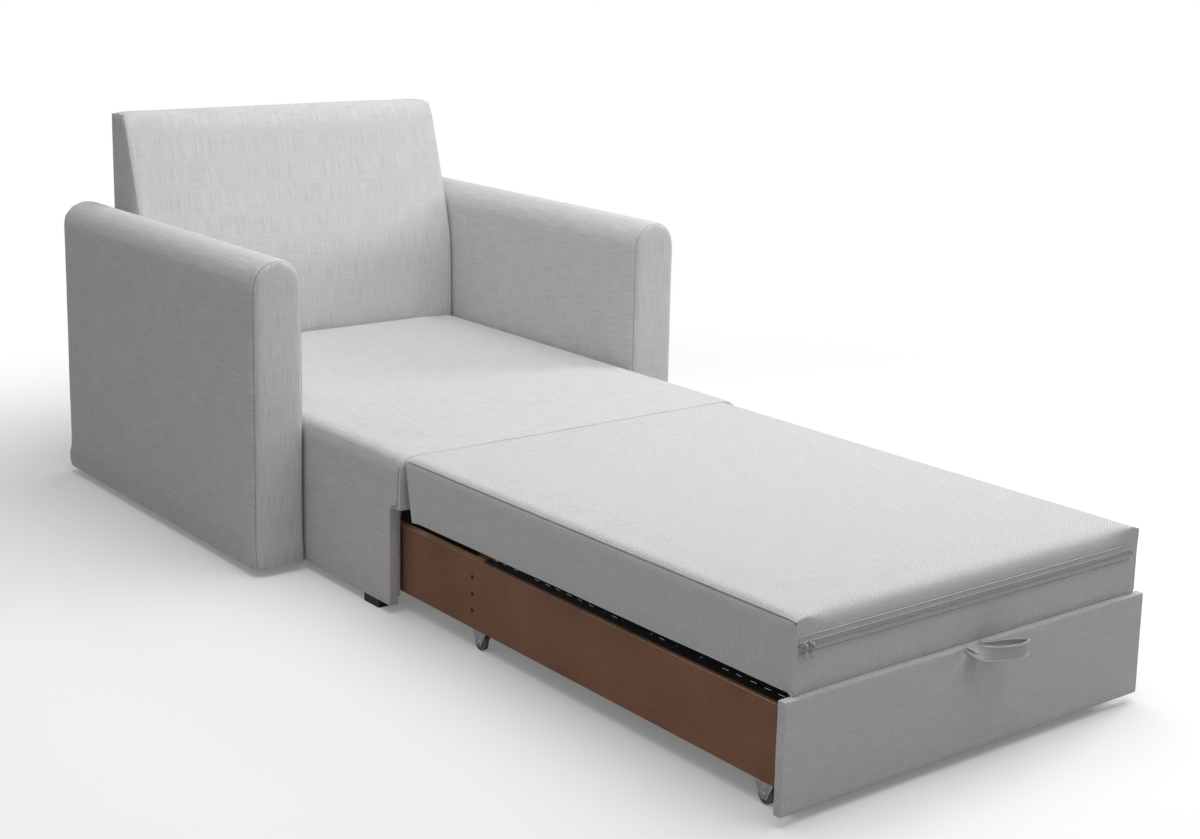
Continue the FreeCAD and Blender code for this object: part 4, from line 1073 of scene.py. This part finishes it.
borders = []
for lane, (share, face) in enumerate(((-0.4, 0.62), (0.4, 0.62), (-0.4, -0.62), (0.4, -0.62))):
    run = [m + w * share * tape_wide + f * face * tape_thick for m, w, f in loop_frames[10:-12]]
    borders.append(tube("border" + str(lane), run, 0.8 * MM, sides=6))
dress(join("loop_border_stitching", borders), pale_thread, "pullout_frame", "X")

# %% [markdown]
# The mattress cover has a box seam round the sides: one line along the top of each long side, which turns
# down at the front corners. The zip runs from corner to corner across the front.

# %% Mattress seams
def laid(points):
    """Points of the unshifted mattress as it lies."""
    return [tuple(p) for p in lay_mattress(np.array([list(p) for p in points], float))]


seam_lines = []
for x in (mat_low.x + 0.5 * MM, mat_high.x - 0.5 * MM):
    run = [(x, y, mat_high.z - 5 * MM) for y in np.linspace(mat_high.y - 8 * MM, mat_low.y + 5 * MM, 40)]
    turn = [(x, mat_low.y + 2 * MM, mat_high.z - 9 * MM), (x, mat_low.y + 1 * MM, mat_high.z - 18 * MM),
            (x, mat_low.y + 1 * MM, mat_low.z + 6 * MM)]
    seam_lines.append(laid(run + turn))
welt("mattress_welt", mattress, seam_lines, 1.1 * MM, "mattress", sink=0.45)
# Painted shade: a dark cord just below each welt, where the seam's furrow is in shade.
shadow_lines = [[(x, y, z - 2.6 * MM) for x, y, z in line] for line in seam_lines]
shade_cord("mattress_painted_seam_shade", mattress, shadow_lines, 0.5 * MM, "mattress", lift=-0.05 * MM)

# %% [markdown]
# The zip: a band of cloth on the cover's front with a nylon coil down its middle, a rolled lip on both
# sides of the coil, and a hem along both edges of the band, with a dark cord of painted shade beside each
# hem. The coil is a helix squeezed flat, so here it is a row of small rounded hoops, one every 2.4 mm,
# between two end stops. The sliders and their pulls are solids of the model and keep their own shape.

# %% Zip
zip_low, zip_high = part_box("zip_tape")
slider_low, slider_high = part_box("zip_slider_left")
zip_line = (slider_low.z + slider_high.z) / 2
tape_half = 13 * MM
end_stop = 3 * MM
coil_step = 2.4 * MM
coil_radius = 1.7 * MM
tape_face = mat_low.y - 0.6 * MM
tape_columns = 90
tape_rows = []
half_profile = [(0.05, 0.35), (0.12, 0.75), (0.72, 0.6), (0.92, 0.75), (1.0, 0.2)]
for share, lift in [(-share, lift) for share, lift in reversed(half_profile)] + half_profile:
    row = []
    for x in np.linspace(zip_low.x, zip_high.x, tape_columns):
        flat = Vector((x, tape_face, zip_line + share * tape_half))
        hit, place, normal, _ = mattress.closest_point_on_mesh(flat)
        row.append(Vector((x, min(place.y - 0.15 * MM, tape_face + 3 * MM) - lift * MM, flat.z)))
    tape_rows.append(row)
zip_tape_piece = strip_mesh("zip_tape_cloth", tape_rows)
apply_modifier(zip_tape_piece, "SOLIDIFY", thickness=0.7 * MM, offset=-1)
face_outwards(zip_tape_piece)
shade(zip_tape_piece, 50)
dress(zip_tape_piece, twill, "mattress", "X", ["zip_tape"])

hoop = tube("hoop", [(0, -coil_radius * math.sin(t), coil_radius * 1.15 * math.cos(t))
                     for t in np.linspace(0.1, math.pi - 0.1, 7)], 0.55 * MM, sides=5)
hoops = []
coil_face = slider_high.y - 0.05 * MM
for k in range(int((zip_high.x - zip_low.x - 8 * MM) / coil_step)):
    made = hoop.copy()
    made.data = hoop.data.copy()
    bpy.context.scene.collection.objects.link(made)
    made.data.transform(Matrix.Translation((zip_low.x + 4 * MM + k * coil_step, coil_face, zip_line)))
    hoops.append(made)
hoops.append(hoop)
hoop.data.transform(Matrix.Translation((zip_high.x - 4.5 * MM, coil_face, zip_line)))
for x in (zip_low.x, zip_high.x - end_stop):
    stop = block("stop", (x, coil_face - 2.2 * MM, zip_line - end_stop),
                 (x + end_stop, coil_face + 0.6 * MM, zip_line + end_stop))
    apply_modifier(stop, "BEVEL", width=0.6 * MM, segments=2)
    hoops.append(stop)
coil_row = join("zip_coil", hoops)
shade(coil_row, 60)
dress(coil_row, zip_coil, "mattress", "X")


def beside_zip(offset):
    """Two lines along the zip in front of the mattress, that far above and below the coil."""
    return [[(x, mat_low.y - 4 * MM, zip_line + z) for x in np.linspace(zip_low.x + MM, zip_high.x - MM, 30)]
            for z in (offset, -offset)]


welt("zip_lips", zip_tape_piece, beside_zip(3.7 * MM), 1.8 * MM, "mattress", sink=0.3)
welt("zip_hems", zip_tape_piece, beside_zip(12.4 * MM), 0.9 * MM, "mattress", sink=0.2)
# Painted shade: a dark cord just inside each hem, where the cloth folds into shade.
shade_cord("zip_hem_shadows", zip_tape_piece, beside_zip(11.0 * MM), 0.45 * MM, "mattress",
          lift=0.1 * MM)

# %% [markdown]
# A strip of cloth joins the mattress to the seat. It is sewn down the seat's front and down the rear end of
# the mattress, and crosses the gap between them near the top, where it bends like a hinge when the
# mattress is folded over. It is drawn as one sheet, attached to neither body.

# %% Joining strip
strip_low, strip_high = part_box("joining_strip")
strip_columns = 48
crossing = strip_high.z - 0.5 * MM
path = [(strip_high.y - 0.1 * MM, crossing - drop) for drop in (20 * MM, 12 * MM, 4 * MM)]
path += [(strip_high.y - 0.5 * MM, crossing - MM), (strip_high.y - 1.4 * MM, crossing),
         (strip_low.y + 1.2 * MM, crossing), (strip_low.y + 0.2 * MM, crossing - 0.6 * MM)]
across = np.linspace(strip_low.x, strip_high.x, strip_columns)
strip = strip_mesh("joining_strip_cloth", [[Vector((x, y, z)) for x in across] for y, z in path])
apply_modifier(strip, "SOLIDIFY", thickness=0.8 * MM, offset=1)
shade(strip, 50)
strip.data.materials.append(cloth)
lay_cloth(strip, "X")
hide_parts("joining_strip")
print(strip.name, "faces", len(strip.data.polygons), "between base and mattress")
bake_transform(strip)

# %% [markdown]
# Under the seat foam run elastic belts, stapled to the front and rear rails. They carry the sitter, so
# each sags a little between the rails even when nobody sits.

# %% Belts under the seat
belt_low, belt_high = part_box("seat_webbing")
belt_count = 6
belt_width = 60 * MM
belt_step = (2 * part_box("seat_front_rail")[1].x) / belt_count
belt_sag = 6 * MM
belts = []
for k in range(belt_count):
    middle = -belt_step * belt_count / 2 + (k + 0.5) * belt_step
    rows = []
    for y in np.linspace(belt_low.y, belt_high.y, 40):
        share = (y - belt_low.y) / (belt_high.y - belt_low.y)
        sag = belt_sag * math.sin(math.pi * ease(share, 0.03, 0.97))
        rows.append([Vector((middle + belt_width * (c / 8 - 0.5), y, belt_high.z - sag)) for c in range(9)])
    belts.append(strip_mesh("belt" + str(k), rows))
belt_piece = join("seat_belts", belts)
apply_modifier(belt_piece, "SOLIDIFY", thickness=1.8 * MM, offset=-1)
face_outwards(belt_piece)
dress(belt_piece, belt_cloth, "base", "Y", ["seat_webbing"])

# %% [markdown]
# The guide boards inside the side walls are wrapped in the same cloth, which shows as a second narrow
# strip at the front edge of the seat's side. Cloth on a thin board pulls round its edges in a small radius.

# %% Guide boards
for side in ("left", "right"):
    low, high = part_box("guide_board_" + side)
    guide = block("guide_cloth_" + side, low, high)
    apply_modifier(guide, "BEVEL", width=2.4 * MM, segments=4)
    edit_all(guide, (bpy.ops.mesh.bisect, {"plane_co": (0, low.y + 30 * MM, 0), "plane_no": (0, 1, 0)}))
    shade(guide, 60)
    dress(guide, cloth, "base", "Z", ["guide_board_" + side])

# %% [markdown]
# Every solid that shows as itself gets its real material. The model's slots say what each is made of.

# %% Materials of the solids
by_slot = {
    "fibreboard": fibreboard, "hardboard": hardboard, "pine": pine, "zinc_steel": zinc_plate,
    "black_screws": black_oxide, "zip_metal": zip_enamel, "grey_plastic": grey_nylon,
    "black_plastic": black_plastic,
}
for part in frame["record"]["subparts"]:
    solid = frame["nodes"][part["node"]]
    if solid.hide_render or part["material_slot"] not in by_slot:
        continue
    solid.data.materials.clear()
    solid.data.materials.append(by_slot[part["material_slot"]])
shown = [name for name, solid in frame["nodes"].items() if not solid.hide_render]
print("solids that show:", len(shown))

# %% [markdown]
# A plain studio. A wide soft box hangs over the seat, a second stands to the right and throws the arm's
# soft shadow across the backrest, and the room adds a little light from everywhere. The floor is pale:
# the camera sees it nearly white, while what it throws back onto the bed is a mid grey, which keeps the
# sides darker than the tops.

# %% Studio
def soft_box(name, place, aim, size, power):
    """A rectangular lamp that looks at its aim."""
    lamp = bpy.data.lights.new(name, "AREA")
    lamp.shape = "RECTANGLE"
    lamp.size, lamp.size_y = size
    lamp.energy = power
    made = bpy.data.objects.new(name, lamp)
    made.location = place
    made.rotation_euler = (Vector(aim) - Vector(place)).to_track_quat("-Z", "Y").to_euler()
    bpy.context.scene.collection.objects.link(made)


soft_box("over_seat", (0.35, -0.35, 2.6), aim=(0.05, 0.0, 0.2), size=(3.4, 3.4), power=72)
soft_box("from_right", (2.6, -0.5, 1.7), aim=(0, 0.5, 0.4), size=(0.8, 0.8), power=25)

room_light = 0.27              # how much light comes from all round
floor_bounce = 0.55            # how much light the floor throws back onto the bed
floor_glow = 0.17              # how far the floor's shadow is lifted towards white
floor_fade = (1.2, 2.25)       # between these distances from the bed's middle the floor turns white
world = bpy.data.worlds.new("room")
bpy.context.scene.world = world
world.use_nodes = True
room = world.node_tree
path = room.nodes.new("ShaderNodeLightPath")
seen = room.nodes.new("ShaderNodeMath")
seen.operation = "MAXIMUM"
room.links.new(path.outputs["Is Camera Ray"], seen.inputs[0])
room.links.new(path.outputs["Is Glossy Ray"], seen.inputs[1])
strength = room.nodes.new("ShaderNodeMapRange")
strength.inputs["To Min"].default_value = room_light
strength.inputs["To Max"].default_value = 1.0
room.links.new(seen.outputs[0], strength.inputs["Value"])
room.nodes["Background"].inputs["Color"].default_value = (1, 1, 1, 1)
room.links.new(strength.outputs["Result"], room.nodes["Background"].inputs["Strength"])

floor_paint, floor_shader = new_material("pale_floor", 0.9, Specular_IOR_Level=0.0)
seen_floor = node(floor_paint, "Emission", Color=(1, 1, 1, 1), Strength=1.0)
place = node(floor_paint, "TexCoord")
away = node(floor_paint, "VectorMath", {"operation": "DISTANCE"}, i0=place.outputs["Object"],
            i1=(0, arms_front - 0.25, 0))
fade = node(floor_paint, "MapRange", {"interpolation_type": "SMOOTHSTEP"}, Value=away.outputs["Value"],
            From_Min=floor_fade[0], From_Max=floor_fade[1], To_Min=floor_glow, To_Max=1.0)
ray = node(floor_paint, "LightPath")
looked_at = node(floor_paint, "Mix", {"data_type": "RGBA"}, i0=ray.outputs["Is Camera Ray"],
                 i6=(floor_bounce, floor_bounce, floor_bounce, 1), i7=(1.0, 1.0, 1.0, 1))
floor_paint.node_tree.links.new(looked_at.outputs[2], floor_shader.inputs["Base Color"])
share = node(floor_paint, "Math", {"operation": "MULTIPLY"}, i0=fade.outputs["Result"],
             i1=ray.outputs["Is Camera Ray"])
mixed = node(floor_paint, "MixShader", Fac=share.outputs["Value"], i1=floor_shader.outputs["BSDF"],
             i2=seen_floor.outputs["Emission"])
surface = floor_paint.node_tree.nodes["Material Output"].inputs["Surface"]
floor_paint.node_tree.links.new(mixed.outputs["Shader"], surface)
make_active(None)
bpy.ops.mesh.primitive_plane_add(size=40, location=(0, 0, 0))
floor = bpy.context.object
floor.name = "floor"
floor.data.materials.append(floor_paint)

bpy.context.scene.view_settings.view_transform = "Standard"
